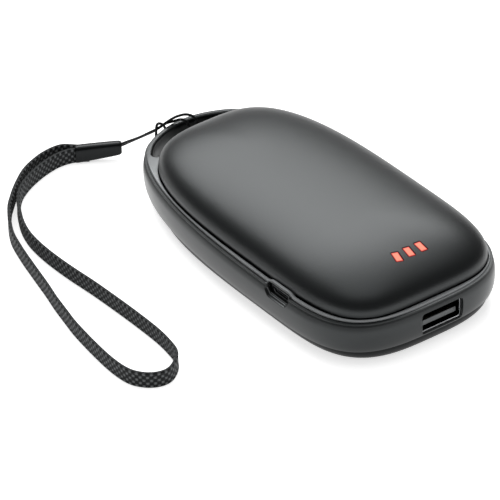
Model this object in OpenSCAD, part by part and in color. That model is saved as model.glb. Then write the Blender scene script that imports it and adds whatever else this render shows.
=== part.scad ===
// Rechargeable hand warmer with a USB output, a micro-USB input and a wrist lanyard.
// The case lies on its back cover: Z is up, the ports face -Y and the lanyard bar is at +Y.
// Every length is in millimetres.

/* [Case] */
// Length of the case from the port end to the tip of the lanyard bar
body_l = 114.2; // [104:0.1:126]
// Width of the side wall at its parting line
body_w = 59.3; // [56:0.1:66]
// Distance from the port end to the widest place
widest_from_front = 39.8; // [34:0.1:46]
// Height of the lip that frames the top cover
lip_z = 13.8; // [13.6:0.05:14.4]
// Height of the parting line between the two frames
parting_z = 12.9; // [12.7:0.05:13.1]
// Height of the seam between the back cover and the side wall
seam_z = 3.7; // [3.2:0.05:3.8]
// How far the side wall swells past its parting line
side_bulge = 0.45; // [0:0.05:1.2]
// Thickness of the lip's overhanging edge
lip_t = 0.55; // [0.4:0.05:0.6]
// How far the lip's edge is set in from the side wall's line
lip_set_in = 0.45; // [0.3:0.05:0.8]
// Depth of the shadow groove under the lip
groove_d = 0.3; // [0.2:0.05:0.4]

/* [Lanyard slot] */
// How far the bar swells past the case's end curve
arch_rise = 1.2; // [0:0.1:2]
// Half the width of that swelling
arch_half_w = 11.5; // [8:0.1:14]
// Width of the lanyard bar
bar_w = 2.2; // [1.8:0.1:3]
// Half the length of the crescent slot
slot_half_w = 17; // [12:0.1:17.5]
// Width of the rim between the slot and the gap round the top cover
slot_rim_w = 1.1; // [1:0.05:1.5]

/* [Top cover] */
// Distance from the side of the case to the top cover's foot
cover_side_in = 1.9; // [1.8:0.05:2.6]
// Distance from the port end of the case to the top cover
cover_front_in = 2.1; // [2:0.1:2.6]
// Distance from the tip of the lanyard bar to the top cover
cover_back_in = 10.8; // [10:0.1:13]
// Height of the crown
top_z = 24.15; // [23.6:0.05:27]
// Height where the cover's upright side turns into its shoulder
shoulder_z = 14.9; // [14.8:0.1:16]
// How far the cover's widest line stands out over its foot
cover_overhang = 0.5; // [0:0.05:0.6]
// Height of the skirt's lower edge, which rests on the frame's ledge
skirt_z = 12.6; // [12.55:0.05:12.7]
// Wall of the top cover
cover_wall = 1.4; // [1:0.1:1.8]
// Width of the dark gap between the top cover and the lip
cover_gap = 0.4; // [0.35:0.05:0.5]

/* [Back cover] */
// Distance from the side of the case to the back cover
back_side_in = 2.5; // [2:0.1:2.8]
// Distance from the port end of the case to the back cover
back_front_in = 0.45; // [0.4:0.05:1.2]
// Width of the rounded edge under the back cover
back_edge = 3.4; // [3:0.1:5]
// Wall of the back cover
back_wall = 1.2; // [1.1:0.05:1.25]
// Height of the tongue that locates the back cover in the frame
tongue_h = 1; // [0.6:0.1:1]
// Thickness of that tongue
tongue_t = 0.8; // [0.6:0.05:0.9]

/* [Indicator bars] */
// Width of one light bar
bar_light_w = 2.1; // [1.6:0.1:2.6]
// Length of one light bar
bar_light_l = 3.5; // [3:0.1:5]
// Spacing of the light bars
bar_light_pitch = 3.9; // [3.6:0.05:4.5]
// Distance from the port end to the middle of the light bars
bar_light_from_front = 12.3; // [11:0.1:14]
// Sideways place of the middle light bar
bar_light_x = 0.7; // [-2:0.1:2]

/* [USB output socket] */
// Sideways place of the socket
usb_x = 2; // [-3:0.1:3]
// Width of the socket's shell
usb_w = 13.1; // [12.6:0.05:13.4]
// Height of the socket's shell
usb_h = 5.7; // [5.5:0.05:5.8]
// Length of the socket's shell
usb_l = 14; // [12:0.1:15]
// How far the shell's mouth lies behind the swelling of the wall
usb_recess = 1.25; // [0.8:0.05:1.8]
// Sheet thickness of both sockets' shells
sheet_t = 0.3; // [0.2:0.05:0.35]

/* [Micro-USB input socket] */
// Distance from the port end to the middle of the socket
micro_from_front = 30.1; // [28:0.1:31]
// Height of the middle of the socket
micro_z = 11.6; // [11.5:0.05:11.65]
// Width of the socket's shell
micro_w = 7.5; // [7.2:0.05:7.8]
// Height of the socket's shell
micro_h = 2.5; // [2.4:0.05:2.6]
// Depth of the socket's shell
micro_l = 5.4; // [5:0.1:5.8]
// Rise of the lip's bump over the socket
bump_rise = 0.8; // [0.4:0.05:1.2]

/* [Power button] */
// Distance from the port end to the middle of the button
button_from_front = 30.2; // [28:0.1:31]
// Length of the button along the wall
button_l = 9; // [7:0.1:10]
// Height of the button
button_h = 3.6; // [3:0.1:3.8]
// Height of the button's middle above the resting face
button_z = 8.5; // [8.3:0.05:8.6]
// Depth of the dish round the button
dish_depth = 0.7; // [0.5:0.05:0.8]
// Travel of the button
button_travel = 0.4; // [0.2:0.05:0.5]

/* [Battery] */
// What the height of the case needs besides a cell: both covers, films and gaps
cell_headroom = 5.75; // [5.7:0.05:6.2]
// What the width of the case needs besides two cells: walls, switch and gaps
cell_side_room = 22.5; // [22.4:0.1:24]
// Gap between the cells and the lower heating film
cell_floor_gap = 0.55; // [0.5:0.05:0.6]
// Distance from the port end to the cells
cell_from_front = 29.2; // [29.2:0.1:29.6]
// Distance from the cells to the tip of the lanyard bar
cell_from_back = 19.8; // [19.6:0.1:20.4]

/* [Circuit board] */
// Thickness of the board
board_t = 1; // [0.8:0.05:1]
// Distance from the cover's side to the board beside the ports
board_front_side_in = 10; // [9.8:0.1:12]
// Distance from the cover's side to the board's wings
board_side_in = 1.7; // [1.4:0.1:2.2]

/* [Screws] */
// Radius of a screw's shank
screw_r = 0.95; // [0.8:0.05:1]
// Radius of a screw's head
screw_head_r = 1.8; // [1.6:0.05:1.9]
// Height of a screw's head
screw_head_h = 1.2; // [1:0.1:1.25]

/* [Lanyard] */
// Width of the woven strap
strap_w = 4.6; // [4:0.1:5]
// Thickness of the woven strap
strap_t = 1; // [0.6:0.05:1.1]
// Diameter of the tether cord
tether_d = 0.75; // [0.6:0.05:1]

/* [Hidden] */
$fn = 40;

// Points round an outline, and a length by which every cut runs past what it cuts
ring_n = 72;
over = 1;
// Clearance between pieces that slip together, and between pieces laid face to face
slip = 0.1;
touch = 0.05;

// Roundness of the four quarters of each outline: ends at the front, sides at the front,
// ends at the back, sides at the back. 2 is an ellipse, larger is squarer.
frame_round = [4.28, 3.16, 2.37, 3.17];
cover_round = [3.75, 4.15, 3.3, 3.35];

// The covers' widths
cover_w = body_w - 2 * cover_side_in;
back_w = body_w - 2 * back_side_in;

// Places of the ends, and the line where both outlines are widest
front_y = -body_l / 2;
back_y = body_l / 2;
widest_y = front_y + widest_from_front;
cover_front_y = front_y + cover_front_in;
cover_back_y = back_y - cover_back_in;

// The shape of the shoulder and crown, and the steps that draw it
crown_power = 2.25;
shoulder_power = 2.3;
crown_steps = 10;
inner_steps = 6;
crown_last_share = 0.9;
crown_spread = 2.2;
// The crown falls toward the ports: 0 keeps an even slope all round, 1 scales with the length
front_taper = 0.62;
// Steps by which the cover's foot swells out to its widest line: height share, swell share
foot_steps = [[0.5, 0.75], [0.8, 0.95]];

// The frame's inner wall stands this far outside the cover's foot beside the ledge, and below it
cavity_out = 1;
wall_out = 0.3;
// The rim between the slot and the cover lies low over this much less than the slot's half length
rim_low_in = 2.5;
// Width of the ledge under the skirt, inward from the cover's outline, and its thickness
ledge_in = 2.6;

ledge_t = 1;
ledge_z = skirt_z - ledge_t;

// The micro-USB opening, the bump over it and the notch for it in the skirt
micro_y = front_y + micro_from_front;
micro_open_w = 9.2;
micro_open_h = 3.4;
micro_open_rise = 0.4;
micro_open_z = micro_z + micro_open_rise;
micro_open_r = 0.8;
micro_recess = 1.6;
micro_front_x = micro_recess - body_w / 2 - side_bulge / 2;
bump_w = 7.5;
bump_ramp = 1.85;
skirt_notch_h = 0.5;

// The USB opening, and the soft recess round it
usb_open_z = 7.6;
usb_open_h = 6.5;
usb_open_r = 0.7;
surround_w = 0.5;
surround_depth = 0.4;
usb_front_y = front_y - side_bulge + usb_recess;
usb_back_y = usb_front_y + usb_l;

// The board hangs under the ledge, and the USB socket hangs under the board
board_z = usb_open_z + usb_h / 2;
board_top_z = board_z + board_t;
board_front_in = 1.8;
board_shoulder_in = 14.8;
board_half_w = cover_w / 2 - board_side_in;
board_front_half_w = cover_w / 2 - board_front_side_in;
board_wing_l = 10;
board_gap = 0.4;

// The flange at the foot of the lower frame, which the back cover seats under
flange_t = 1.2;
flange_in = 0.7;
flange_top_z = seam_z + flange_t;

// Screw places as angles round the cover's outline, and how far in they stand
case_screw_angles = [-138, -42, 42, 138];
case_screw_in = 3.15;
board_screw_angles = [-160, -20];
board_screw_in = 4.2;
ear_r = 3;
ear_t = 1.2;
ear_z = flange_top_z;
ear_top_z = ear_z + ear_t;
post_r = 2;
screw_tip_gap = 0.4;

// The upright profile of the side wall from seam to parting line: height share, swell share
wall_shares = [
    [0, -1.1], [0.055, -0.45], [0.2, 0.4], [0.38, 0.88], [0.565, 1], [0.75, 0.75], [0.9, 0.15], [1, -0.25]
];

// The cells take the largest round that the case has room for, and lie side by side
film_t = 0.25;
film_top_z = back_wall + film_t;
cell_d = min(top_z - cell_headroom, (body_w - cell_side_room) / 2);
cell_l = body_l - cell_from_front - cell_from_back;
cell_z = film_top_z + cell_floor_gap + cell_d / 2;
cell_gap = 0.6;
cell_pitch = cell_d + 2 * slip;
cell_front_y = front_y + cell_from_front;
cell_back_y = cell_front_y + cell_l;

// The button, its flange behind the wall and its plunger
button_y = front_y + button_from_front;
button_face_x = body_w / 2 + side_bulge - touch;
button_flange_x = cover_w / 2 + wall_out - 2 * slip;
button_flange_t = 1;
button_flange_w = 0.8;
dish_w = 1.2;
plunger_r = 0.8;
board_wing_x = cell_pitch / 2 + cell_d / 2 + board_gap;
plunger_in = 1.1;
switch_l = 6;
switch_h = 3.5;
switch_d = 4.2;
switch_out_x = cell_pitch / 2 + cell_d / 2 + cell_gap + switch_d;

// The light bars fan out from the middle one
bar_lean_mid = 1;
bar_lean_step = 6;
bar_light_r = 0.3;
bar_light_gap = 0.06;
guide_depth = 0.08;

// The back cover's outline and the steps of its rounded edge
back_front_y = front_y + back_front_in;
frame_back_round = [frame_round[0], frame_round[1], cover_round[2], cover_round[3]];
edge_steps = 5;
tongue_edge_in = flange_in + slip + tongue_t;

// Light guide and lamps
lamp_w = 1.6;
lamp_l = 0.8;
lamp_h = 0.7;
lamp_top_z = board_top_z + lamp_h;
guide_gap = 0.2;
guide_flange_t = 1;
guide_drop = 6.65;
guide_flange_z = top_z - guide_drop;

// Posts for the board's screws, and the screws' lengths
post_l = 2.4;
case_screw_l = 6.4;
board_screw_bite = 2;
board_screw_l = board_t + board_screw_bite;

// Parts on the board
cell_clear = 0.5;
parts_y = cell_front_y - 9;
chip_x = 8;
chip_w = 5;
chip_l = 4;
chip_h = 1.5;
coil_r = 3.4;
coil_h = 3.6;
coil_lip = 0.6;
cap_x = 15;
cap_w = 1.8;
cap_l = 3.2;
cap_h = 1.6;

// Inside the sockets
usb_r = 0.5;
tongue_side_gap = 0.5;
tongue_w = usb_w - 2 * sheet_t - 2 * tongue_side_gap;
tongue_drop = 1.65;
tongue_z = usb_open_z - tongue_drop;
tongue_t_usb = 1.4;
tongue_back_in = 1;
block_l = 2;
contact_w = 1;
contact_t = 0.15;
contact_pitch = 2.4;
contact_in = 0.6;
micro_back_x = micro_front_x + micro_l;
micro_side_share = 0.1;
micro_cut_share = 0.75;
micro_tongue_w = 4.6;
micro_tongue_t = 0.6;
micro_tongue_rise = 0.1;
micro_tongue_in = 1;
micro_block_l = 1;
micro_groove_w = 0.25;
micro_groove_d = 0.1;
micro_groove_pitch = 0.65;

// Round the cells
pole_r = 3;
pole_h = 0.4;
link_t = 0.25;
film_first = 3;
film_end_in = 2;
film_side_gap = 0.6;
saddle_in = 9;
saddle_l = 5;
saddle_h = 6;
saddle_side_in = 0.5;
saddle_half_w = cell_pitch / 2 + cell_d / 2 - saddle_side_in;
keel_w = 3;
keel_rise = 3.4;
bead_r = 0.8;
bead_l = 3;
bead_y = cell_front_y + cell_l / 2;

// Wires inside the case
lead_r = 0.6;
lead_bend = 2.4;
lead_start_z = max(cell_z + pole_r - lead_r, board_top_z + lead_r + slip);
lead_low_z = cell_z + cell_d / 4;
lead_high_z = cell_z + cell_d / 3;
lead_foot_y = cell_front_y - lead_bend - lead_r;
lead_positive_route = [
    [6, cell_front_y - link_t, lead_start_z], [5.8, cell_front_y - lead_bend / 2, lead_start_z + lead_r],
    [5.3, cell_front_y - lead_bend, lead_start_z + lead_r / 2], [5, lead_foot_y, board_top_z + lead_r * 2],
    [5, lead_foot_y, board_top_z]
];
lead_negative_route = [
    [2, cell_back_y + link_t, lead_start_z], [1.2, cell_back_y + lead_bend, lead_start_z + lead_bend / 2],
    [0.3, cell_back_y + lead_bend / 2, lead_high_z], [0, cell_back_y - lead_bend, lead_high_z],
    [0, bead_y + cell_l / 8, lead_low_z], [0, bead_y - cell_l / 8, lead_low_z],
    [0, cell_front_y + lead_bend, lead_high_z - lead_r], [-0.6, cell_front_y - lead_bend / 2, lead_start_z + lead_bend / 2],
    [-1, lead_foot_y, board_top_z + lead_r * 3], [-1, lead_foot_y, board_top_z]
];

// The lanyard: the strap's route on the ground, seen from above
strap_section_shares = [
    [-1, -0.75], [-0.55, -1], [0.55, -1], [1, -0.75], [1, 0.75], [0.55, 1], [-0.55, 1], [-1, 0.75]
];
strap_route = [
    [-20.5, 73.9], [-23, 76.6], [-26, 79], [-31, 79], [-36, 77.5], [-41, 75], [-46.5, 70.6], [-51, 66.2], [-55, 61.5],
    [-60.3, 52.5], [-63.1, 44], [-65.7, 33.3], [-67.6, 25], [-69.4, 18], [-70.9, 11], [-72.2, 4.5], [-73.5, -6],
    [-74.1, -15], [-73.5, -21.5], [-71.2, -25.5], [-68, -27.5], [-64.7, -27.5], [-61.3, -25.3], [-58.8, -22],
    [-57.7, -17.5], [-57, -11], [-56.9, -2], [-57.1, 8], [-57.5, 18], [-58.2, 28], [-58.4, 38], [-57.7, 46.5],
    [-56, 53], [-53.4, 58.7], [-50.4, 63.8], [-46.9, 68], [-42.6, 71.1], [-38.4, 73.2], [-34, 74.8], [-29, 75.8],
    [-24.5, 75.2], [-20.5, 72.9]
];
sleeve_t = 3;
sleeve_h = 4.9;
sleeve_from = [-23.5, 75.3, 2.5];
sleeve_to = [-12.5, 68.4, 3.7];
sleeve_section_shares = [
    [-1, -0.7], [-0.6, -1], [0.6, -1], [1, -0.7], [1, 0.5], [0.45, 1], [-0.45, 1], [-1, 0.5]
];
// Along the sleeve: place share, thickness share, height share
sleeve_shares = [
    [0, 0.94, 0.94], [0.05, 1, 1], [0.45, 0.98, 0.94], [0.8, 0.92, 0.8], [0.95, 0.8, 0.68], [1, 0.6, 0.5]
];
tether_route = [
    [-14, 69.9, 4.1], [-12.9, 68.2, 4.9], [-12.2, 66.1, 6.4], [-10.6, 62.4, 9], [-9, 59, 11.8],
    [-7.3, 57.4, 13.2], [-5.1, 56.4, 14.8], [-3.1, 56.3, 15.3], [-1.4, 56.1, 15.5], [0.6, 55.3, 15.6],
    [2.2, 54.2, 14.9], [3.1, 53.5, 13], [3.3, 53.4, 9], [3, 53.6, 4.8], [2.2, 54.6, 2.8], [0, 56.6, 2.6],
    [-2, 58.2, 3.4], [-3.6, 58.6, 6], [-4.2, 58.4, 9.4], [-4.6, 58.2, 11.8], [-5.3, 58.1, 13.2],
    [-6.5, 57.9, 14.2], [-7.6, 57.5, 14.5], [-8.3, 57, 13.7], [-8.4, 57, 12.4], [-8.4, 57.3, 8.6],
    [-7.7, 57.4, 4.8], [-6.2, 56.6, 2.7], [-4.2, 55.4, 2.5], [-2.3, 54.1, 2.9], [-1.1, 53.5, 4.8],
    [-0.2, 53.3, 8], [0.3, 53.3, 11.4], [0.2, 53.4, 13], [-0.6, 54.1, 14.7], [-1.7, 55, 15], [-3.1, 56, 14.5],
    [-4.9, 57.2, 13.9], [-6.9, 58.2, 12.6], [-8.2, 59.3, 11.4], [-9.8, 62.6, 8.8], [-11.3, 66.3, 5.9],
    [-12.2, 68.8, 4], [-13.6, 70.8, 3.3]
];

// Signed power, and one point of an outline of given half width and end lengths
function signed_power(v, e) = sign(v) * pow(abs(v), e);
function egg(a, half_w, front_len, back_len, round_share) =
    let (back = sin(a) >= 0, end_e = 2 / round_share[back ? 2 : 0], side_e = 2 / round_share[back ? 3 : 1])
    [
        half_w * signed_power(cos(a), side_e),
        widest_y + (back ? back_len : front_len) * signed_power(sin(a), end_e)
    ];

// The bar at the lanyard end swells out in a smooth hump
function hump(x) = arch_rise * pow(max(0, 1 - pow(x / arch_half_w, 2)), 2);
function frame_xy(a, inset) =
    let (
        p = egg(a, body_w / 2 - inset, widest_y - front_y - inset, back_y - arch_rise - widest_y - inset,
                frame_round)
    )
    [p.x, p.y + (sin(a) > 0 ? hump(p.x) : 0)];
function cover_xy(a, inset) =
    egg(a, cover_w / 2 - inset, widest_y - cover_front_y - inset, cover_back_y - widest_y - inset, cover_round);
// The cover's contour at a depth under its skin, at a share of the way from its widest line to the crown
function crown_xy(a, depth, share) =
    let (
        half = cover_w / 2 + cover_overhang - depth, front = widest_y - cover_front_y + cover_overhang - depth,
        back = cover_back_y - widest_y + cover_overhang - depth
    )
    egg(a, half * (1 - share), front - share * (half * (1 - front_taper) + front * front_taper), back - share * half,
        cover_round);
function step_angle(i) = 360 * i / ring_n;
function frame_ring(inset, z) = [for (i = [0:ring_n - 1]) let (p = frame_xy(step_angle(i), inset)) [p.x, p.y, z]];
function cover_ring(inset, z) = [for (i = [0:ring_n - 1]) let (p = cover_xy(step_angle(i), inset)) [p.x, p.y, z]];
function flipped(v) = [for (i = [len(v) - 1:-1:0]) v[i]];

// A solid through rings of points, with caps at its ends or joined into a loop
module loft(rings, loop = false) {
    n = len(rings[0]);
    m = len(rings);
    spans = loop ? m : m - 1;
    sides = [
        for (j = [0:spans - 1], i = [0:n - 1])
            let (a = j * n + i, b = j * n + (i + 1) % n, c = ((j + 1) % m) * n + (i + 1) % n, d = ((j + 1) % m) * n + i)
            each [[a, d, c], [a, c, b]]
    ];
    caps = loop ? [] : [[for (i = [0:n - 1]) i], [for (i = [n - 1:-1:0]) (m - 1) * n + i]];
    polyhedron(points = [for (r = rings) each r], faces = concat(sides, caps), convexity = 8);
}

module frame_outline(inset) polygon([for (i = [0:ring_n - 1]) frame_xy(step_angle(i), inset)]);
module cover_outline(inset) polygon([for (i = [0:ring_n - 1]) cover_xy(step_angle(i), inset)]);
module slab(low, high) translate([0, 0, low]) linear_extrude(high - low) children();

// A rectangle with round corners, centred
module round_rect(w, h, r) {
    square([w - 2 * r, h], center = true);
    square([w, h - 2 * r], center = true);
    for (sx = [-1, 1], sy = [-1, 1]) translate([sx * (w / 2 - r), sy * (h / 2 - r)]) circle(r);
}

// Prisms that run along Y and along X from a given place, drawn in the plane seen from outside
module along_y(from, to) translate([0, to, 0]) rotate([90, 0, 0]) linear_extrude(to - from) children();
module along_x(from, to) translate([from, 0, 0]) rotate([90, 0, 90]) linear_extrude(to - from) children();

// Surface of the top cover at a depth under its outside, as rings from a low edge to the crown
function crown_rise(share) = pow(1 - pow(1 - share, crown_power), 1 / shoulder_power);
function skin_ring(depth, share) = [
    for (i = [0:ring_n - 1])
        let (p = crown_xy(step_angle(i), depth, share))
        [p.x, p.y, shoulder_z + (top_z - depth - shoulder_z) * crown_rise(share)]
];
function foot_rings(depth) = [
    for (f = foot_steps) cover_ring(depth - f[1] * cover_overhang, lip_z + f[0] * (shoulder_z - lip_z))
];
function skin(depth, steps, first = 0) = [
    for (k = [first:steps]) skin_ring(depth, crown_last_share * pow(k / steps, crown_spread))
];

module light_bar_outlines(grow) {
    for (i = [-1:1])
        translate([bar_light_x + i * bar_light_pitch, front_y + bar_light_from_front])
            rotate(bar_lean_mid - bar_lean_step * (1 - i))
                round_rect(bar_light_w + 2 * grow, bar_light_l + 2 * grow, bar_light_r);
}

module top_cover() color([0.2, 0.21, 0.22]) {
    difference() {
        loft(concat(
            flipped(skin(cover_wall, inner_steps)), flipped(foot_rings(cover_wall)),
            [cover_ring(cover_wall, lip_z), cover_ring(cover_wall, skirt_z), cover_ring(0, skirt_z), cover_ring(0, lip_z)],
            foot_rings(0), skin(0, crown_steps)
        ));
        slab(shoulder_z, top_z) light_bar_outlines(bar_light_gap);
        translate([-cover_w / 2 - over, micro_y - micro_open_w / 2 - slip, skirt_z - over])
            cube([cover_wall * 3, micro_open_w + 2 * slip, over + skirt_notch_h]);
    }
}

// The crescent slot lies between the bar and the rim round the top cover
module slot_outline() {
    intersection() {
        difference() {
            frame_outline(bar_w);
            cover_outline(-cover_gap - slot_rim_w);
        }
        translate([-slot_half_w, widest_y]) square([2 * slot_half_w, body_l]);
    }
}

// Where the rim between the slot and the gap lies low
module rim_zone() {
    intersection() {
        cover_outline(-cover_gap - slot_rim_w - touch);
        translate([rim_low_in - slot_half_w, widest_y]) square([2 * (slot_half_w - rim_low_in), body_l]);
    }
}

module bump_outline(low) {
    polygon([
        [-bump_w / 2 - bump_ramp, lip_z], [-bump_w / 2, lip_z + bump_rise],
        [bump_w / 2, lip_z + bump_rise], [bump_w / 2 + bump_ramp, lip_z],
        [bump_w / 2 + bump_ramp, low], [-bump_w / 2 - bump_ramp, low]
    ]);
}

module micro_opening() {
    along_x(-body_w / 2 - side_bulge - over, ledge_in - board_half_w)
        translate([micro_y, micro_open_z]) round_rect(micro_open_w, micro_open_h, micro_open_r);
}

module upper_frame() color([0.24, 0.25, 0.26]) {
    difference() {
        union() {
            difference() {
                union() {
                    slab(lip_z - lip_t, lip_z) frame_outline(lip_set_in);
                    slab(parting_z, lip_z - lip_t) frame_outline(lip_set_in + groove_d);
                    slab(ledge_z, parting_z + touch) cover_outline(slip - cavity_out);
                    intersection() {
                        along_x(-body_w / 2, 0) translate([micro_y, 0]) bump_outline(parting_z);
                        slab(0, top_z) frame_outline(lip_set_in);
                    }
                }
                slab(skirt_z, top_z) cover_outline(-cover_gap);
                slab(lip_z, top_z) cover_outline(-cover_gap - cover_overhang);
                slab(parting_z + touch, top_z) rim_zone();
                slab(0, top_z) cover_outline(ledge_in);
                for (s = [-1, 1]) translate([s * cell_pitch / 2, cell_front_y, cell_z]) rotate([-90, 0, 0])
                    cylinder(d = cell_d + 4 * slip, h = cell_l + slip);
                slab(0, top_z) slot_outline();
            }
            for (a = case_screw_angles)
                translate(concat(cover_xy(a, case_screw_in), ear_top_z))
                    cylinder(r = post_r, h = ledge_z + ledge_t - ear_top_z);
            for (a = board_screw_angles)
                translate(concat(cover_xy(a, board_screw_in), board_top_z)) cylinder(r = post_r, h = post_l);
        }
        micro_opening();
        for (a = case_screw_angles)
            translate(cover_xy(a, case_screw_in)) cylinder(r = screw_r + touch, h = ledge_z + touch);
        for (a = board_screw_angles)
            translate(cover_xy(a, board_screw_in)) cylinder(r = screw_r + touch, h = board_top_z + post_l - touch * 4);
    }
}

module back_outline(inset) polygon([for (i = [0:ring_n - 1]) back_xy(step_angle(i), inset)]);

module button_outline(grow) {
    round_rect(button_l + 2 * grow, button_h + 2 * grow, button_h / 2 + grow - touch);
}

module lower_frame() color([0.08, 0.085, 0.09]) {
    difference() {
        loft([
            for (w = wall_shares) frame_ring(-w[1] * side_bulge, seam_z + w[0] * (parting_z - seam_z))
        ]);
        // The hollow for the upper frame's skirt, and the hollow below it
        slab(ledge_z - touch, top_z) cover_outline(-cavity_out);
        slab(flange_top_z, ledge_z) cover_outline(-wall_out);
        // The mouth that the back cover closes, less the ears for the screws
        slab(0, flange_top_z + touch) back_outline(flange_in);
        slab(0, top_z) slot_outline();
        usb_opening();
        micro_opening();
        along_x(0, body_w) translate([button_y, button_z]) button_outline(slip);
        along_x(button_face_x - dish_depth, body_w) translate([button_y, button_z]) button_outline(dish_w);
    }
    for (a = case_screw_angles) {
        difference() {
            slab(ear_z, ear_top_z) intersection() {
                union() {
                    translate(cover_xy(a, case_screw_in)) circle(ear_r);
                    translate(cover_xy(a, case_screw_in)) rotate(a) translate([0, -ear_r]) square([ear_r * 2, ear_r * 2]);
                }
                cover_outline(-wall_out - touch);
            }
            translate(cover_xy(a, case_screw_in)) cylinder(r = screw_r + touch, h = top_z);
        }
    }
}

module usb_opening() {
    along_y(front_y - side_bulge - over, usb_back_y)
        translate([usb_x, usb_open_z]) round_rect(usb_w + 2 * slip, usb_open_h, usb_open_r);
    along_y(front_y - side_bulge - over, front_y - side_bulge + surround_depth)
        translate([usb_x, usb_open_z])
            round_rect(usb_w + 2 * surround_w, usb_open_h + 2 * surround_w, usb_open_r + surround_w);
}

// The back cover is a shallow dish with a tongue inside the lower frame's flange
module bottom_cover() color([0.1, 0.105, 0.11]) {
    difference() {
        union() {
            loft([for (k = [edge_steps:-1:0]) edge_ring(0, 90 * k / edge_steps)]);
            slab(seam_z - touch, seam_z + tongue_h) difference() {
                back_outline(flange_in + slip);
                for (a = case_screw_angles) translate(cover_xy(a, case_screw_in)) circle(ear_r + touch * 4);
            }
        }
        loft([
            for (k = [edge_steps:-1:0]) edge_ring(back_wall, 90 * k / edge_steps),
            back_ring(tongue_edge_in, seam_z + touch), back_ring(tongue_edge_in, seam_z + tongue_h + over)
        ]);
    }
}

function back_xy(a, inset) =
    egg(a, back_w / 2 - inset, widest_y - back_front_y - inset, cover_back_y - widest_y - inset, frame_back_round);
function back_ring(inset, z) = [for (i = [0:ring_n - 1]) let (p = back_xy(step_angle(i), inset)) [p.x, p.y, z]];
function edge_ring(wall, t) = back_ring(wall + back_edge * (1 - cos(t)), wall + (seam_z - wall) * (1 - sin(t)));

module indicator_bars() color([0.95, 0.6, 0.5]) {
    intersection() {
        slab(lamp_top_z + guide_gap, top_z) light_bar_outlines(0);
        loft(concat(
            [cover_ring(guide_depth, board_z)],
            skin(guide_depth, crown_steps)
        ));
    }
    translate([bar_light_x, front_y + bar_light_from_front, guide_flange_z]) linear_extrude(guide_flange_t)
        round_rect(2 * bar_light_pitch + bar_light_l, bar_light_l + bar_light_w, bar_light_w / 2);
}

module indicator_lamps() color([0.9, 0.9, 0.85]) {
    for (i = [-1:1])
        translate([
            bar_light_x + i * bar_light_pitch - lamp_w / 2, front_y + bar_light_from_front - lamp_l / 2, board_top_z
        ]) cube([lamp_w, lamp_l, lamp_h]);
}

// The button's cap passes through the wall and its flange stays behind it
module power_button() color([0.12, 0.125, 0.13]) {
    along_x(button_flange_x - button_flange_t, button_face_x) translate([button_y, button_z]) button_outline(0);
    along_x(button_flange_x - button_flange_t, button_flange_x)
        translate([button_y, button_z]) button_outline(button_flange_w);
}

module switch_plunger() color([0.8, 0.8, 0.78]) {
    translate([switch_out_x - plunger_in, button_y, button_z]) rotate([0, 90, 0])
        cylinder(r = plunger_r, h = button_flange_x - button_flange_t - switch_out_x + plunger_in);
}

module switch_body() color([0.25, 0.25, 0.27]) {
    difference() {
        translate([switch_out_x - switch_d, button_y - switch_l / 2, board_z - switch_h])
            cube([switch_d, switch_l, switch_h]);
        translate([switch_out_x - plunger_in - 2 * button_travel, button_y, button_z]) rotate([0, 90, 0])
            cylinder(r = plunger_r + touch, h = button_l);
    }
}

module main_board() color([0.1, 0.35, 0.2]) {
    difference() {
        slab(board_z, board_top_z) intersection() {
            polygon([
                [-board_front_half_w, front_y + board_front_in], [board_front_half_w, front_y + board_front_in],
                [board_front_half_w, front_y + board_shoulder_in], [board_half_w, front_y + board_shoulder_in],
                [board_half_w, cell_front_y + board_wing_l], [board_wing_x, cell_front_y + board_wing_l],
                [board_wing_x, cell_front_y - cell_clear], [-board_wing_x, cell_front_y - cell_clear],
                [-board_wing_x, cell_front_y + board_wing_l], [-board_half_w, cell_front_y + board_wing_l],
                [-board_half_w, front_y + board_shoulder_in], [-board_front_half_w, front_y + board_shoulder_in]
            ]);
            cover_outline(slip * 2 - wall_out);
        }
        translate([-board_half_w - over, micro_y - micro_w / 2 - slip, 0])
            cube([micro_back_x + slip + board_half_w + over, micro_w + 2 * slip, top_z]);
        for (a = board_screw_angles) translate(cover_xy(a, board_screw_in)) cylinder(r = screw_r + slip, h = top_z);
    }
}

module control_chip() color([0.12, 0.12, 0.13]) {
    translate([-chip_x - chip_w / 2, parts_y - chip_l / 2, board_top_z]) cube([chip_w, chip_l, chip_h]);
}

module boost_inductor() color([0.3, 0.3, 0.32]) {
    translate([chip_x, parts_y, board_top_z]) {
        cylinder(r = coil_r, h = coil_lip);
        cylinder(r = coil_r - coil_lip, h = coil_h);
        translate([0, 0, coil_h - coil_lip]) cylinder(r = coil_r, h = coil_lip);
    }
}

module board_capacitors() color([0.6, 0.45, 0.3]) {
    for (s = [-1, 1]) translate([s * cap_x - cap_w / 2, parts_y - cap_l / 2, board_top_z]) cube([cap_w, cap_l, cap_h]);
}

module usb_a_shell() color([0.75, 0.76, 0.78]) {
    difference() {
        along_y(usb_front_y, usb_back_y) translate([usb_x, usb_open_z]) round_rect(usb_w, usb_h, usb_r);
        along_y(usb_front_y - over, usb_back_y - sheet_t) translate([usb_x, usb_open_z])
            round_rect(usb_w - 2 * sheet_t, usb_h - 2 * sheet_t, usb_r - sheet_t / 2);
    }
}

// The tongue is moulded on the socket's block, with its contacts on the upper face
module usb_a_tongue() color([0.9, 0.9, 0.88]) {
    translate([usb_x - tongue_w / 2, usb_front_y + tongue_back_in, tongue_z])
        cube([tongue_w, usb_l - sheet_t - tongue_back_in, tongue_t_usb]);
    along_y(usb_back_y - sheet_t - block_l, usb_back_y - sheet_t) translate([usb_x, usb_open_z])
        round_rect(usb_w - 2 * sheet_t, usb_h - 2 * sheet_t, usb_r - sheet_t / 2);
}

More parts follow.
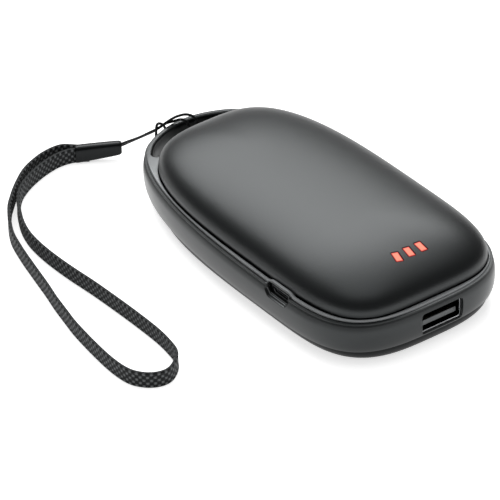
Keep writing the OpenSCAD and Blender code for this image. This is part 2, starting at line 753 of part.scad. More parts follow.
module usb_a_contacts() color([0.85, 0.7, 0.3]) {
    for (i = [-1.5:1.5])
        translate([usb_x + i * contact_pitch - contact_w / 2, usb_front_y + tongue_back_in + contact_in, tongue_z + tongue_t_usb])
            cube([contact_w, usb_l - sheet_t - block_l - tongue_back_in - contact_in, contact_t]);
}

module micro_outline(grow) {
    w = micro_w / 2 + grow;
    h = micro_h / 2 + grow;
    polygon([
        [-w, h], [w, h], [w, -h * micro_side_share], [w - h * micro_cut_share, -h],
        [h * micro_cut_share - w, -h], [-w, -h * micro_side_share]
    ]);
}

module micro_usb_shell() color([0.75, 0.76, 0.78]) {
    difference() {
        along_x(micro_front_x, micro_back_x) translate([micro_y, micro_z]) micro_outline(0);
        along_x(micro_front_x - over, micro_back_x - sheet_t) translate([micro_y, micro_z]) micro_outline(-sheet_t);
    }
}

module micro_usb_tongue() color([0.2, 0.2, 0.22]) {
    difference() {
        translate([micro_front_x + micro_tongue_in, micro_y - micro_tongue_w / 2, micro_z + micro_tongue_rise])
            cube([micro_l - sheet_t - micro_tongue_in, micro_tongue_w, micro_tongue_t]);
        for (i = [-2:2])
            translate([
                micro_front_x, micro_y + i * micro_groove_pitch - micro_groove_w / 2,
                micro_z + micro_tongue_rise - over + micro_groove_d
            ]) cube([micro_l - sheet_t - micro_block_l, micro_groove_w, over]);
    }
    translate([micro_back_x - sheet_t - micro_block_l, micro_y - micro_tongue_w / 2, micro_z - micro_h / 2 + sheet_t])
        cube([micro_block_l, micro_tongue_w, micro_h / 2 - sheet_t + micro_tongue_rise + micro_tongue_t]);
}

module cell(side) {
    translate([side * cell_pitch / 2, 0, cell_z]) rotate([-90, 0, 0]) {
        translate([0, 0, cell_front_y + pole_h]) cylinder(d = cell_d, h = cell_l - pole_h);
        translate([0, 0, cell_front_y]) cylinder(r = pole_r, h = pole_h + over);
    }
}
module cell_left() color([0.25, 0.45, 0.7]) cell(-1);
module cell_right() color([0.25, 0.45, 0.7]) cell(1);

// Two saddles joined by a keel between the cells
module cell_cradle() color([0.85, 0.85, 0.83]) {
    difference() {
        union() {
            for (y = [cell_front_y + saddle_in, cell_back_y - saddle_in - saddle_l])
                translate([-saddle_half_w, y, film_top_z]) cube([2 * saddle_half_w, saddle_l, saddle_h]);
            translate([-keel_w / 2, cell_front_y + saddle_in, film_top_z + keel_rise])
                cube([keel_w, cell_l - 2 * saddle_in, saddle_h - keel_rise]);
        }
        for (s = [-1, 1]) translate([s * cell_pitch / 2, cell_front_y - over, cell_z]) rotate([-90, 0, 0])
            cylinder(d = cell_d + 2 * touch, h = cell_l + 2 * over);
    }
}

module cell_link(y) {
    translate([-cell_pitch / 2 - pole_r, y, cell_z - pole_r]) cube([cell_pitch + 2 * pole_r, link_t, 2 * pole_r]);
}
module cell_link_front() color([0.8, 0.8, 0.8]) cell_link(cell_front_y - link_t);
module cell_link_rear() color([0.8, 0.8, 0.8]) cell_link(cell_back_y);

// A heating film lies under each metal cover's skin
module heater_top() color([0.8, 0.5, 0.2]) {
    intersection() {
        loft(concat(
            flipped(skin(cover_wall + touch + film_t, inner_steps, film_first)),
            skin(cover_wall + touch, inner_steps, film_first)
        ));
        translate([-cover_w / 2, cell_front_y + film_end_in, 0]) cube([cover_w, cell_l - 2 * film_end_in, top_z]);
    }
}
module heater_bottom() color([0.8, 0.5, 0.2]) {
    slab(back_wall, film_top_z) difference() {
        back_outline(back_wall + back_edge + film_side_gap);
        translate([-body_w / 2, front_y]) square([body_w, cell_front_y - front_y]);
    }
}

module thermistor() color([0.15, 0.15, 0.15]) {
    translate([0, bead_y, film_top_z + bead_r]) rotate([-90, 0, 0]) cylinder(r = bead_r, h = bead_l);
}

// Screws of one size hold the two frames together and the board under the upper frame
module screw(shank_l) {
    translate([0, 0, -screw_head_h]) cylinder(r = screw_head_r, h = screw_head_h);
    cylinder(r = screw_r, h = shank_l);
}
module case_screws() color([0.7, 0.7, 0.72]) {
    for (a = case_screw_angles) translate(concat(cover_xy(a, case_screw_in), ear_z)) screw(case_screw_l);
}
module board_screws() color([0.7, 0.7, 0.72]) {
    for (a = board_screw_angles) translate(concat(cover_xy(a, board_screw_in), board_z)) screw(board_screw_l);
}

// A point on a smooth curve through four points, and a route with points set in between
function blend(a, b, c, d, t) =
    0.5 * (2 * b + (c - a) * t + (2 * a - 5 * b + 4 * c - d) * t * t + (3 * b - a - 3 * c + d) * t * t * t);
function smooth(p, cuts) = [
    for (i = [0:len(p) - 2], k = [0:cuts - 1])
        blend(p[max(0, i - 1)], p[i], p[i + 1], p[min(len(p) - 1, i + 2)], k / cuts),
    p[len(p) - 1]
];
function unit(v) = v / norm(v);
function heading(p, i) = unit(p[min(i + 1, len(p) - 1)] - p[max(i - 1, 0)]);

// Sideways directions carried along a route so that a tube doesn't twist
function carried(p, i, last) = let (t = heading(p, i)) unit(last - t * (last * t));
function carry(p, first) = [
    for (i = 0, v = carried(p, 0, first); i < len(p); i = i + 1, v = carried(p, min(i, len(p) - 1), v)) v
];
module tube(p, r, first, sides) {
    v = carry(p, first);
    loft([
        for (i = [0:len(p) - 1])
            let (t = heading(p, i), w = cross(t, v[i]))
            [for (k = [0:sides - 1]) p[i] + r * (cos(360 * k / sides) * v[i] + sin(360 * k / sides) * w)]
    ]);
}

module lead_positive() color([0.7, 0.12, 0.1])
    tube(smooth(lead_positive_route, 3), lead_r, [1, 0, 0], 8);
module lead_negative() color([0.1, 0.1, 0.1])
    tube(smooth(lead_negative_route, 3), lead_r, [1, 0, 0], 8);

// The strap's section stands on edge: its thickness is level and its width upright
module lanyard_strap() color([0.06, 0.06, 0.065]) {
    p = smooth([for (q = strap_route) [q.x, q.y, strap_w / 2]], 2);
    loft([
        for (i = [0:len(p) - 1])
            let (t = heading(p, i), n = cross(t, [0, 0, 1]))
            [for (c = strap_section_shares) p[i] + c.x * strap_t / 2 * n + [0, 0, c.y * strap_w / 2]]
    ]);
}

// The sleeve is crimped on the strap's ends and narrows toward the cord
module lanyard_sleeve() color([0.18, 0.18, 0.19]) {
    loft([
        for (k = [0:len(sleeve_shares) - 1])
            let (
                f = sleeve_shares[k], c = sleeve_from + (sleeve_to - sleeve_from) * f[0],
                n = unit(cross(sleeve_to - sleeve_from, [0, 0, 1])), w = sleeve_t / 2 * f[1], h = sleeve_h / 2 * f[2]
            )
            [for (q = sleeve_section_shares) c + q.x * w * n + [0, 0, q.y * h]]
    ]);
}

module tether_cord() color([0.05, 0.05, 0.05])
    tube(smooth(tether_route, 2), tether_d / 2, [0, 0, 1], 8);

top_cover();
upper_frame();
lower_frame();
bottom_cover();
indicator_bars();
indicator_lamps();
power_button();
switch_plunger();
switch_body();
main_board();
control_chip();
boost_inductor();
board_capacitors();
usb_a_shell();
usb_a_tongue();
usb_a_contacts();
micro_usb_shell();
micro_usb_tongue();
cell_left();
cell_right();
cell_cradle();
cell_link_front();
cell_link_rear();
heater_top();
heater_bottom();
thermistor();
lead_positive();
lead_negative();
case_screws();
board_screws();
lanyard_strap();
lanyard_sleeve();
tether_cord();
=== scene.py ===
import math

import bmesh
import bpy
import numpy as np
from mathutils import Matrix, Vector


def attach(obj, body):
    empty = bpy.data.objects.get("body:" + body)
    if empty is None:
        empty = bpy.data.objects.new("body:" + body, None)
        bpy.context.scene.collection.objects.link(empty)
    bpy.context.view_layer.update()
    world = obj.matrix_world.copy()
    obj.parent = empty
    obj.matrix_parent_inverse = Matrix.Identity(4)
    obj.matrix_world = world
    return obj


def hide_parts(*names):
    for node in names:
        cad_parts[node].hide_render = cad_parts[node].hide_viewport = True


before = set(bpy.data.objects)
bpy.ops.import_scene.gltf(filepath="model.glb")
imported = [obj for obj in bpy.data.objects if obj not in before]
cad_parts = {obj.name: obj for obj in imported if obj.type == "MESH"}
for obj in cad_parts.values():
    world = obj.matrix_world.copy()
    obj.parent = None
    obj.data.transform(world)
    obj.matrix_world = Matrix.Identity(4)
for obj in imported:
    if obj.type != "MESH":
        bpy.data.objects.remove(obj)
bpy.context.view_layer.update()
MM = 0.001

# Camera: angles in degrees, place and distance in metres, focal length in pixels of the photograph's frame
CAM_AZ, CAM_EL, CAM_ROLL = -35.34, 33.78, -2.0
CAM_AT = Vector((-0.0219, -0.0049, 0.0113))
CAM_DISTANCE = 1.243
CAM_FOCAL, FRAME_PIXELS = 4670.4, 500


def add_camera():
    a, e, r = math.radians(CAM_AZ), math.radians(CAM_EL), math.radians(CAM_ROLL)
    back = Vector((math.sin(a) * math.cos(e), -math.cos(a) * math.cos(e), math.sin(e)))
    right = Vector((math.cos(a), math.sin(a), 0))
    up = back.cross(right)
    across = math.cos(r) * right + math.sin(r) * up
    tall = -math.sin(r) * right + math.cos(r) * up
    data = bpy.data.cameras.new("camera")
    data.sensor_width = 36
    data.lens = CAM_FOCAL * data.sensor_width / FRAME_PIXELS
    data.clip_start, data.clip_end = 0.01, 20
    cam = bpy.data.objects.new("camera", data)
    bpy.context.collection.objects.link(cam)
    place = CAM_AT + back * CAM_DISTANCE
    turn = Matrix((across, tall, back)).transposed().to_4x4()
    cam.matrix_world = Matrix.Translation(place) @ turn
    bpy.context.scene.camera = cam


add_camera()

# Sizes in millimetres. Most are the part's own, and the widths of both covers are fitted to the photograph.
BODY_L, BODY_W, WIDEST = 114.2, 59.3, 39.8
FRONT_Y, BACK_Y = -BODY_L / 2, BODY_L / 2
WIDE_Y = FRONT_Y + WIDEST
COVER_W, COVER_FRONT, COVER_BACK = 54.8, FRONT_Y + 2.1, BACK_Y - 10.8
BACK_W, BACK_FRONT = 56.6, FRONT_Y + 0.6
# Roundness of each outline: front end, front sides, back end, back sides
FRAME_ROUND = (4.28, 3.16, 2.37, 3.17)
COVER_ROUND = (3.75, 4.15, 3.3, 3.35)
BACK_ROUND = (4.28, 3.16, 3.3, 3.35)
# The wall and the lip
PARTING_Z, SEAM_Z, BULGE = 12.9, 3.7, 0.45
LIP_SQUEEZE = 0.99
# The lanyard's bar, its slot, and the rim between the slot and the cover
ARCH_RISE, ARCH_HALF, BAR_W, SLOT_HALF = 1.2, 11.5, 2.2, 17.0
GAP, RIM, RIM_LOW_IN = 0.4, 1.1, 2.5
# The top cover's skin, and its crown: the powers of the curve, and how far in the last ring lies
SHOULDER_Z, TOP_Z, COVER_WALL, OVERHANG, FRONT_TAPER = 14.9, 24.15, 1.4, 0.5, 0.62
CROWN_POWER, SHOULDER_POWER, CROWN_LAST = 2.25, 2.3, 0.985
# The back cover's rounded edge, and the height of its floor inside
BACK_EDGE, BACK_STEPS, BACK_FLOOR = 3.1, 14, 2.4
# Openings: the middle and size of each
MICRO_Y, MICRO_Z, MICRO_W, MICRO_H = FRONT_Y + 30.1, 12.0, 9.2, 3.4
BUTTON_Y, BUTTON_Z, BUTTON_W, BUTTON_H = FRONT_Y + 30.2, 8.5, 9.2, 3.8
USB_X, USB_Z, USB_W, USB_H = 2.0, 7.6, 13.35, 6.5
# The bump in the lip over the charging port: rise, half length at its foot, and length of each slope
BUMP_RISE, BUMP_HALF, BUMP_SLOPE, BUMP_SHIFT = 0.8, 5.4, 1.9, 0.6
LIGHT_X, LIGHT_Y, LIGHT_PITCH, LIGHT_W, LIGHT_L = 0.7, FRONT_Y + 12.3, 3.9, 2.1, 3.5
# From here toward the output port the outlines fade into their shapes at that end
PORT_END_Y, PORT_END_L = -34, 12
# Points on each outline of the case
N = 320


def spow(v, e):
    """A power that keeps the sign."""
    return np.sign(v) * np.abs(v) ** e


def egg(a, half_w, front, back, rounds):
    """An outline of four superellipse quarters that meet at the widest place."""
    c, s = np.cos(a), np.sin(a)
    far = s >= -1e-12
    x = half_w * spow(c, 2 / np.where(far, rounds[3], rounds[1]))
    y = WIDE_Y + np.where(far, back, front) * spow(s, 2 / np.where(far, rounds[2], rounds[0]))
    return np.stack([x, y], -1)


def frame_xy(a, inset):
    p = egg(a, BODY_W / 2 - inset, WIDE_Y - FRONT_Y - inset, BACK_Y - ARCH_RISE - WIDE_Y - inset, FRAME_ROUND)
    rise = ARCH_RISE * np.clip(1 - (p[:, 0] / ARCH_HALF) ** 2, 0, None) ** 2
    p[:, 1] += np.where(np.sin(a) > 0, rise, 0)
    return p


def cover_xy(a, inset):
    return egg(a, COVER_W / 2 - inset, WIDE_Y - COVER_FRONT - inset, COVER_BACK - WIDE_Y - inset, COVER_ROUND)


def back_xy(a, inset):
    return egg(a, BACK_W / 2 - inset, WIDE_Y - BACK_FRONT - inset, COVER_BACK - WIDE_Y - inset, BACK_ROUND)


def even_angles(curve, n):
    """Angles at which points lie evenly along an outline, kept the same on every ring."""
    a = np.linspace(0, 2 * np.pi, 7201)
    p = curve(a, 0.0)
    s = np.r_[0, np.cumsum(np.hypot(*np.diff(p, axis=0).T))]
    return np.interp(np.linspace(0, s[-1], n, endpoint=False), s, a)


# The cords: sizes, and routes over the floor in millimetres, from the sleeve and back to it
STRAP_W, STRAP_T, TETHER_D = 4.6, 1.0, 0.75
STRAP_ROUTE = [
    (-20.5, 73.9), (-23, 76.6), (-26, 79), (-31, 79), (-36, 77.5), (-41, 75), (-46.5, 70.6), (-51, 66.2), (-55, 61.5),
    (-60.3, 52.5), (-63.1, 44), (-65.7, 33.3), (-67.6, 25), (-69.4, 18), (-70.9, 11), (-72.2, 4.5), (-73.5, -6),
    (-74.1, -15), (-73.5, -21.5), (-71.2, -25.5), (-68, -27.5), (-64.7, -27.5), (-61.3, -25.3), (-58.8, -22),
    (-57.7, -17.5), (-57, -11), (-56.9, -2), (-57.1, 8), (-57.5, 18), (-58.2, 28), (-58.4, 38), (-57.7, 46.5),
    (-56, 53), (-53.4, 58.7), (-50.4, 63.8), (-46.9, 68), (-42.6, 71.1), (-38.4, 73.2), (-34, 74.8), (-29, 75.8),
    (-24.5, 75.2), (-20.5, 72.9),
]
TETHER_ROUTE = [
    (-14, 69.9, 4.1), (-12.9, 68.2, 4.9), (-12.2, 66.1, 6.4), (-10.6, 62.4, 9), (-9, 59, 11.8),
    (-7.3, 57.4, 13.2), (-5.1, 56.4, 14.8), (-3.1, 56.3, 15.3), (-1.4, 56.1, 15.5), (0.6, 55.3, 15.6),
    (2.2, 54.2, 14.9), (3.1, 53.5, 13), (3.3, 53.4, 9), (3, 53.6, 4.8), (2.2, 54.6, 2.8), (0, 56.6, 2.6),
    (-2, 58.2, 3.4), (-3.6, 58.6, 6), (-4.2, 58.4, 9.4), (-4.6, 58.2, 11.8), (-5.3, 58.1, 13.2),
    (-6.5, 57.9, 14.2), (-7.6, 57.5, 14.5), (-8.3, 57, 13.7), (-8.4, 57, 12.4), (-8.4, 57.3, 8.6),
    (-7.7, 57.4, 4.8), (-6.2, 56.6, 2.7), (-4.2, 55.4, 2.5), (-2.3, 54.1, 2.9), (-1.1, 53.5, 4.8),
    (-0.2, 53.3, 8), (0.3, 53.3, 11.4), (0.2, 53.4, 13), (-0.6, 54.1, 14.7), (-1.7, 55, 15), (-3.1, 56, 14.5),
    (-4.9, 57.2, 13.9), (-6.9, 58.2, 12.6), (-8.2, 59.3, 11.4), (-9.8, 62.6, 8.8), (-11.3, 66.3, 5.9),
    (-12.2, 68.8, 4), (-13.6, 70.8, 3.3),
]


def smooth(points, cuts):
    """A smooth curve through points, with each step cut in parts."""
    p = np.array(points, float)
    q = np.vstack([p[:1], p, p[-1:]])
    out = []
    for i in range(len(p) - 1):
        a, b, c, d = q[i : i + 4]
        for k in range(cuts):
            t = k / cuts
            out.append(
                0.5 * (2 * b + (c - a) * t + (2 * a - 5 * b + 4 * c - d) * t**2 + (3 * b - a - 3 * c + d) * t**3)
            )
    out.append(p[-1])
    return np.array(out)


def headings(p):
    t = np.gradient(p, axis=0)
    return t / np.linalg.norm(t, axis=1)[:, None]


def mesh_object(name, verts, faces, unit=MM):
    me = bpy.data.meshes.new(name)
    me.from_pydata([tuple(v) for v in np.asarray(verts) * unit], [], [tuple(int(i) for i in f) for f in faces])
    me.validate()
    me.update()
    bm = bmesh.new()
    bm.from_mesh(me)
    bmesh.ops.recalc_face_normals(bm, faces=bm.faces)
    bm.to_mesh(me)
    bm.free()
    me.polygons.foreach_set("use_smooth", [True] * len(me.polygons))
    o = bpy.data.objects.new(name, me)
    bpy.context.collection.objects.link(o)
    return o


def loft(rings, loop=False):
    """Points and faces of a skin over rings, closed by two caps or, as a loop, onto its first ring."""
    n, m = len(rings[0]), len(rings)
    verts = np.vstack(rings)
    faces = []
    for j in range(m if loop else m - 1):
        k = (j + 1) % m
        for i in range(n):
            i2 = (i + 1) % n
            faces.append((j * n + i, j * n + i2, k * n + i2, k * n + i))
    if not loop:
        faces.append(tuple(range(n - 1, -1, -1)))
        faces.append(tuple(range((m - 1) * n, m * n)))
    return verts, faces


def tube_rings(p, section, first):
    """Rings of a section, in millimetres, carried along points without twist."""
    t = headings(p)
    v = np.array(first, float)
    out = []
    for i in range(len(p)):
        v = v - t[i] * (v @ t[i])
        v /= np.linalg.norm(v)
        out.append(p[i] + section[:, :1] * v + section[:, 1:] * np.cross(t[i], v))
    return out


def circle_section(r, n):
    a = np.linspace(0, 2 * np.pi, n, endpoint=False)
    return np.stack([r * np.cos(a), r * np.sin(a)], -1)


strap_path = smooth([(x, y, STRAP_W / 2) for x, y in STRAP_ROUTE], 6)


def strap_section():
    """A flat woven tape: ribbed edges, and a shallow middle."""
    w, t = STRAP_W / 2, STRAP_T / 2
    half = [(-t * 0.35, -w), (-t * 0.8, -w * 0.97), (-t, -w * 0.88), (-t, -w * 0.76), (-t * 0.84, -w * 0.7)]
    side = half + [(-t * 0.86, -w * 0.35), (-t * 0.88, 0.0)]
    left = side + [(x, -z) for x, z in reversed(side[:-1])]
    right = [(-x, z) for x, z in reversed(left)]
    return np.array(left + right)


def add_strap():
    sec = strap_section()
    t = headings(strap_path)
    rings = []
    for p, d in zip(strap_path, t):
        n = np.cross(d, (0, 0, 1.0))
        n /= np.linalg.norm(n)
        rings.append(p + sec[:, :1] * n + np.stack([0 * sec[:, 0], 0 * sec[:, 0], sec[:, 1]], -1))
    o = mesh_object("strap", *loft(rings))
    uv = o.data.uv_layers.new(name="weave")
    along = np.r_[0, np.cumsum(np.linalg.norm(np.diff(strap_path, axis=0), axis=1))]
    k = len(sec)
    for loop in o.data.loops:
        j, i = divmod(loop.vertex_index, k)
        uv.data[loop.index].uv = (along[j], sec[i][1])
    return o


strap = add_strap()
TETHER_SIDES = 14
tether_path = smooth(TETHER_ROUTE, 6)


def add_tether():
    o = mesh_object("tether", *loft(tube_rings(tether_path, circle_section(TETHER_D / 2, TETHER_SIDES), (0, 0, 1))))
    uv = o.data.uv_layers.new(name="weave")
    along = np.r_[0, np.cumsum(np.linalg.norm(np.diff(tether_path, axis=0), axis=1))]
    for face in o.data.polygons:
        ids = list(face.vertices)
        for li in face.loop_indices:
            j, i = divmod(o.data.loops[li].vertex_index, TETHER_SIDES)
            if i == 0 and any(v % TETHER_SIDES == TETHER_SIDES - 1 for v in ids):
                i = TETHER_SIDES
            uv.data[li].uv = (along[j], i / TETHER_SIDES)
    return o


tether = add_tether()

# The sleeve that joins the strap's ends to the tether
SLEEVE_FROM, SLEEVE_TO = np.array([-23.5, 75.3, 2.5]), np.array([-12.5, 68.4, 3.7])
SLEEVE_T, SLEEVE_H = 3.0, 4.9


def add_sleeve():
    d = (SLEEVE_TO - SLEEVE_FROM) / np.linalg.norm(SLEEVE_TO - SLEEVE_FROM)
    n = np.cross(d, (0, 0, 1.0))
    n /= np.linalg.norm(n)
    # Share of the way along, share of the thickness, share of the height
    shape = [
        (0.004, 0.86, 0.90), (0, 0.93, 0.955), (0.02, 0.985, 0.985), (0.06, 1, 0.995), (0.25, 0.99, 0.965),
        (0.5, 0.97, 0.9), (0.75, 0.94, 0.83), (0.88, 0.92, 0.79), (0.95, 0.87, 0.75), (0.985, 0.78, 0.67),
        (1.0, 0.62, 0.55), (1.0, 0.4, 0.4),
    ]
    half = [(-0.62, -1), (-0.86, -0.96), (-0.97, -0.86), (-1, -0.7), (-1, -0.2), (-0.99, 0.35), (-0.95, 0.62),
            (-0.82, 0.84), (-0.6, 0.96), (-0.35, 1)]
    sec = np.array(half + [(-x, z) for x, z in reversed(half)])
    rings = []
    for f, w, h in shape:
        c = SLEEVE_FROM + (SLEEVE_TO - SLEEVE_FROM) * f
        rings.append(c + sec[:, :1] * SLEEVE_T / 2 * w * n + np.array([0, 0, 1.0]) * sec[:, 1:] * SLEEVE_H / 2 * h)
    return mesh_object("sleeve", *loft(rings))


sleeve = add_sleeve()
for piece, node, slot_name in (
    (strap, "lanyard_strap", "webbing"), (tether, "tether_cord", "cord"), (sleeve, "lanyard_sleeve", "sleeve")
):
    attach(piece, "case")
    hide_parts(node)


# Tools for the case's solids
SHARP_DEG = 34


def seal(o):
    """Welds a solid, takes it from millimetres to metres, and smooths all but its sharp edges."""
    me = o.data
    bm = bmesh.new()
    bm.from_mesh(me)
    bmesh.ops.remove_doubles(bm, verts=bm.verts, dist=2e-4)
    bmesh.ops.recalc_face_normals(bm, faces=bm.faces)
    for f in bm.faces:
        f.smooth = True
    for e in bm.edges:
        e.smooth = len(e.link_faces) == 2 and e.calc_face_angle(0) < math.radians(SHARP_DEG)
    bmesh.ops.scale(bm, vec=(MM, MM, MM), verts=bm.verts)
    bm.to_mesh(me)
    bm.free()
    return o


def cut(o, *cutters):
    """Takes cutters away from a mesh and applies what its modifiers ask for."""
    for c in cutters:
        m = o.modifiers.new("cut", "BOOLEAN")
        m.operation, m.solver, m.object = "DIFFERENCE", "MANIFOLD", c
    dg = bpy.context.evaluated_depsgraph_get()
    me = bpy.data.meshes.new_from_object(o.evaluated_get(dg))
    o.modifiers.clear()
    old = o.data
    o.data = me
    bpy.data.meshes.remove(old)


def drop(*objects):
    for o in objects:
        me = o.data
        bpy.data.objects.remove(o)
        bpy.data.meshes.remove(me)


def at_z(p, z):
    return np.column_stack([p, np.broadcast_to(z, len(p))])


def offset(poly, d):
    """Moves a closed outline, anticlockwise, outward by d."""
    t = np.roll(poly, -1, 0) - np.roll(poly, 1, 0)
    t /= np.linalg.norm(t, axis=1)[:, None]
    return poly + d * np.stack([t[:, 1], -t[:, 0]], -1)


def rounded(points, radii, steps=6):
    """A closed outline, anticlockwise, with each corner rounded."""
    p = [np.array(q, float) for q in points]
    out = []
    for i, q in enumerate(p):
        a, b, r = p[i - 1], p[(i + 1) % len(p)], radii[i] if hasattr(radii, "__len__") else radii
        if r <= 0:
            out.append(q)
            continue
        u, v = (a - q) / np.linalg.norm(a - q), (b - q) / np.linalg.norm(b - q)
        half = 0.5 * math.acos(max(-1, min(1, float(u @ v))))
        far = r / math.tan(half)
        c = q + (u + v) / np.linalg.norm(u + v) * r / math.sin(half)
        s, e = q + u * far - c, q + v * far - c
        turn = math.atan2(s[0] * e[1] - s[1] * e[0], s @ e)
        for k in range(steps + 1):
            w = turn * k / steps
            cw, sw = math.cos(w), math.sin(w)
            out.append(c + np.array([s[0] * cw - s[1] * sw, s[0] * sw + s[1] * cw]))
    return np.array(out)


def box_outline(w, h, r, steps=6):
    return rounded([(-w / 2, -h / 2), (w / 2, -h / 2), (w / 2, h / 2), (-w / 2, h / 2)], r, steps)


def facing_y(p, at, y):
    """An outline drawn in the plane that faces -Y, with its middle at (x, z)."""
    return np.column_stack([p[:, 0] + at[0], np.full(len(p), y), p[:, 1] + at[1]])


def facing_x(p, at, x):
    """An outline drawn in the plane seen along X, with its middle at (y, z)."""
    return np.column_stack([np.full(len(p), x), p[:, 0] + at[0], p[:, 1] + at[1]])


cover_a = even_angles(cover_xy, N)
frame_a = even_angles(frame_xy, N)
back_a = even_angles(back_xy, N)


def cover_z(share, depth=0.0):
    """Height of the cover's contour at a share of the way to the crown, so far under the outside."""
    rise = (1 - (1 - np.clip(share, 0, 1)) ** CROWN_POWER) ** (1 / SHOULDER_POWER)
    return SHOULDER_Z + (TOP_Z - depth - SHOULDER_Z) * rise


def crown_lengths(share, depth=0.0):
    """Half width, front length and back length of the cover's contour at a share of the way to the crown."""
    half, front = COVER_W / 2 + OVERHANG - depth, WIDE_Y - COVER_FRONT + OVERHANG - depth
    back = COVER_BACK - WIDE_Y + OVERHANG - depth
    return half * (1 - share), front - share * (half * (1 - FRONT_TAPER) + front * FRONT_TAPER), back - share * half


def cover_skin(depth, steps):
    """Rings of the cover's crown from its shoulder up, so far under the outside."""
    rings = []
    for k in range(steps + 1):
        s = CROWN_LAST * (k / steps) ** 2.2
        half, front, back = crown_lengths(s, depth)
        rings.append(at_z(egg(cover_a, half, front, back, COVER_ROUND), cover_z(s, depth)))
    return rings


def top_at(x, y):
    """Height of the top cover's outside over a point, in millimetres."""
    x, y = np.asarray(x, float), np.asarray(y, float)
    lo, hi = np.zeros_like(x), np.full_like(x, 0.999)
    for _ in range(40):
        mid = (lo + hi) / 2
        half, front, back = crown_lengths(mid)
        far = y >= WIDE_Y
        f = (np.abs(x) / half) ** np.where(far, COVER_ROUND[3], COVER_ROUND[1])
        f = f + (np.abs(y - WIDE_Y) / np.where(far, back, front)) ** np.where(far, COVER_ROUND[2], COVER_ROUND[0])
        lo, hi = np.where(f < 1, mid, lo), np.where(f < 1, hi, mid)
    return cover_z(lo)


# The three light bars have slanted ends and are fanned out by these angles
BAR_LEANS = (-11.0, -5.0, 1.0)
BAR_SLANT, BAR_CORNER = 0.08, 0.28


def bar_outline(i, grow=0.0):
    w, h = LIGHT_W / 2 + grow, LIGHT_L / 2 + grow
    pts = [(-w, -h + BAR_SLANT), (w, -h - BAR_SLANT), (w, h - BAR_SLANT), (-w, h + BAR_SLANT)]
    p = rounded(pts, BAR_CORNER + grow, 5)
    a = math.radians(BAR_LEANS[i])
    r = np.array([[math.cos(a), math.sin(a)], [-math.sin(a), math.cos(a)]])
    return p @ r + (LIGHT_X + (i - 1) * LIGHT_PITCH, LIGHT_Y)


def port_end(y):
    """From 0 to 1 toward the output port's end of the case."""
    return np.clip((PORT_END_Y - y) / PORT_END_L, 0, 1)[:, None]


def add_top_cover():
    inner = cover_skin(COVER_WALL, 20)[::-1]
    skirt = [at_z(cover_xy(cover_a, i), z) for i, z in ((COVER_WALL, 12.7), (1.3, 12.6), (0.15, 12.6), (0, 12.75))]
    # The foot swells out, slowly along the sides and at once beside the output port: height, and both swellings
    foot = [(13.3, 0, 0), (13.8, 0, 0), (13.9, 0.05, 0.15), (14.0, 0.12, 0.36), (14.15, 0.2, 0.48), (14.4, 0.375, 0.5),
            (14.6, 0.45, 0.5), (14.75, 0.485, 0.5)]
    base = cover_xy(cover_a, 0)
    near = port_end(base[:, 1])
    near = near * near * (3 - 2 * near)
    wall = [at_z(cover_xy(cover_a, -a) * (1 - near) + cover_xy(cover_a, -b) * near, z) for z, a, b in foot]
    o = mesh_object("cover", *loft(inner + skirt + wall + cover_skin(0, 64)), unit=1)
    cutters = []
    for i in range(len(BAR_LEANS)):
        p = bar_outline(i, 0.07)
        z = top_at(p[:, 0], p[:, 1])
        rings = [at_z(p, 16.0), at_z(p, z - 0.18), at_z(offset(p, 0.09), z + 0.02), at_z(offset(p, 0.09), 26.0)]
        cutters.append(mesh_object(f"bar_cut_{i}", *loft(rings), unit=1))
    notch = mesh_object("notch_cut", *loft([
        facing_x(box_outline(9.4, 1.4, 0.3), (MICRO_Y, 12.4), x) for x in (-31.0, -24.0)
    ]), unit=1)
    cut(o, *cutters, notch)
    drop(*cutters, notch)
    return seal(o)


def add_light_bars():
    """Each bar is a lens flush with the cover, with its edge distance kept for its material."""
    # Inset, height from the cover's outside, edge distance, and the share kept of the way from the bar's middle
    levels = [(0.0, -3.0, 0.0, 1), (0.0, -0.2, 0.0, 1), (0.03, -0.1, 0.0, 1), (0.10, -0.06, 0.12, 1),
              (0.22, -0.04, 0.4, 1), (0.22, -0.03, 1.0, 0.76), (0.22, -0.025, 1.0, 0.4)]
    verts, faces, edge = [], [], []
    for i in range(len(BAR_LEANS)):
        base = bar_outline(i)
        middle = np.array([LIGHT_X + (i - 1) * LIGHT_PITCH, LIGHT_Y])
        rings = []
        for inset, up, e, share in levels:
            p = middle + (offset(base, -inset) - middle) * share
            rings.append(at_z(p, top_at(p[:, 0], p[:, 1]) + up))
            edge += [e] * len(base)
        skin_verts, skin_faces = loft(rings)
        faces += [tuple(k + len(verts) for k in f) for f in skin_faces]
        verts += list(skin_verts)
    o = mesh_object("light_bars", verts, faces)
    attr = o.data.attributes.new("edge", "FLOAT", "POINT")
    attr.data.foreach_set("value", edge)
    return o


def slot_outline():
    """The crescent between the bar and the rim, anticlockwise from above."""
    x = np.linspace(-SLOT_HALF, SLOT_HALF, 90)
    a = np.linspace(0.02, math.pi - 0.02, 1500)
    out, rim = frame_xy(a, BAR_W), cover_xy(a, -GAP - RIM)
    y_out = np.interp(x, out[::-1, 0], out[::-1, 1])
    y_in = np.interp(x, rim[::-1, 0], rim[::-1, 1])
    low, high = np.stack([x, y_in], -1), np.stack([x, y_out], -1)[::-1]
    # Both ends are rounded
    pts = list(low[3:-3]) + [low[-1], high[0]] + list(high[3:-3]) + [high[-1], low[0]]
    radii = [0.0] * len(low[3:-3]) + [0.9, 0.75] + [0.0] * len(high[3:-3]) + [0.75, 0.9]
    return rounded(pts, radii, 8)


slot_xy = slot_outline()


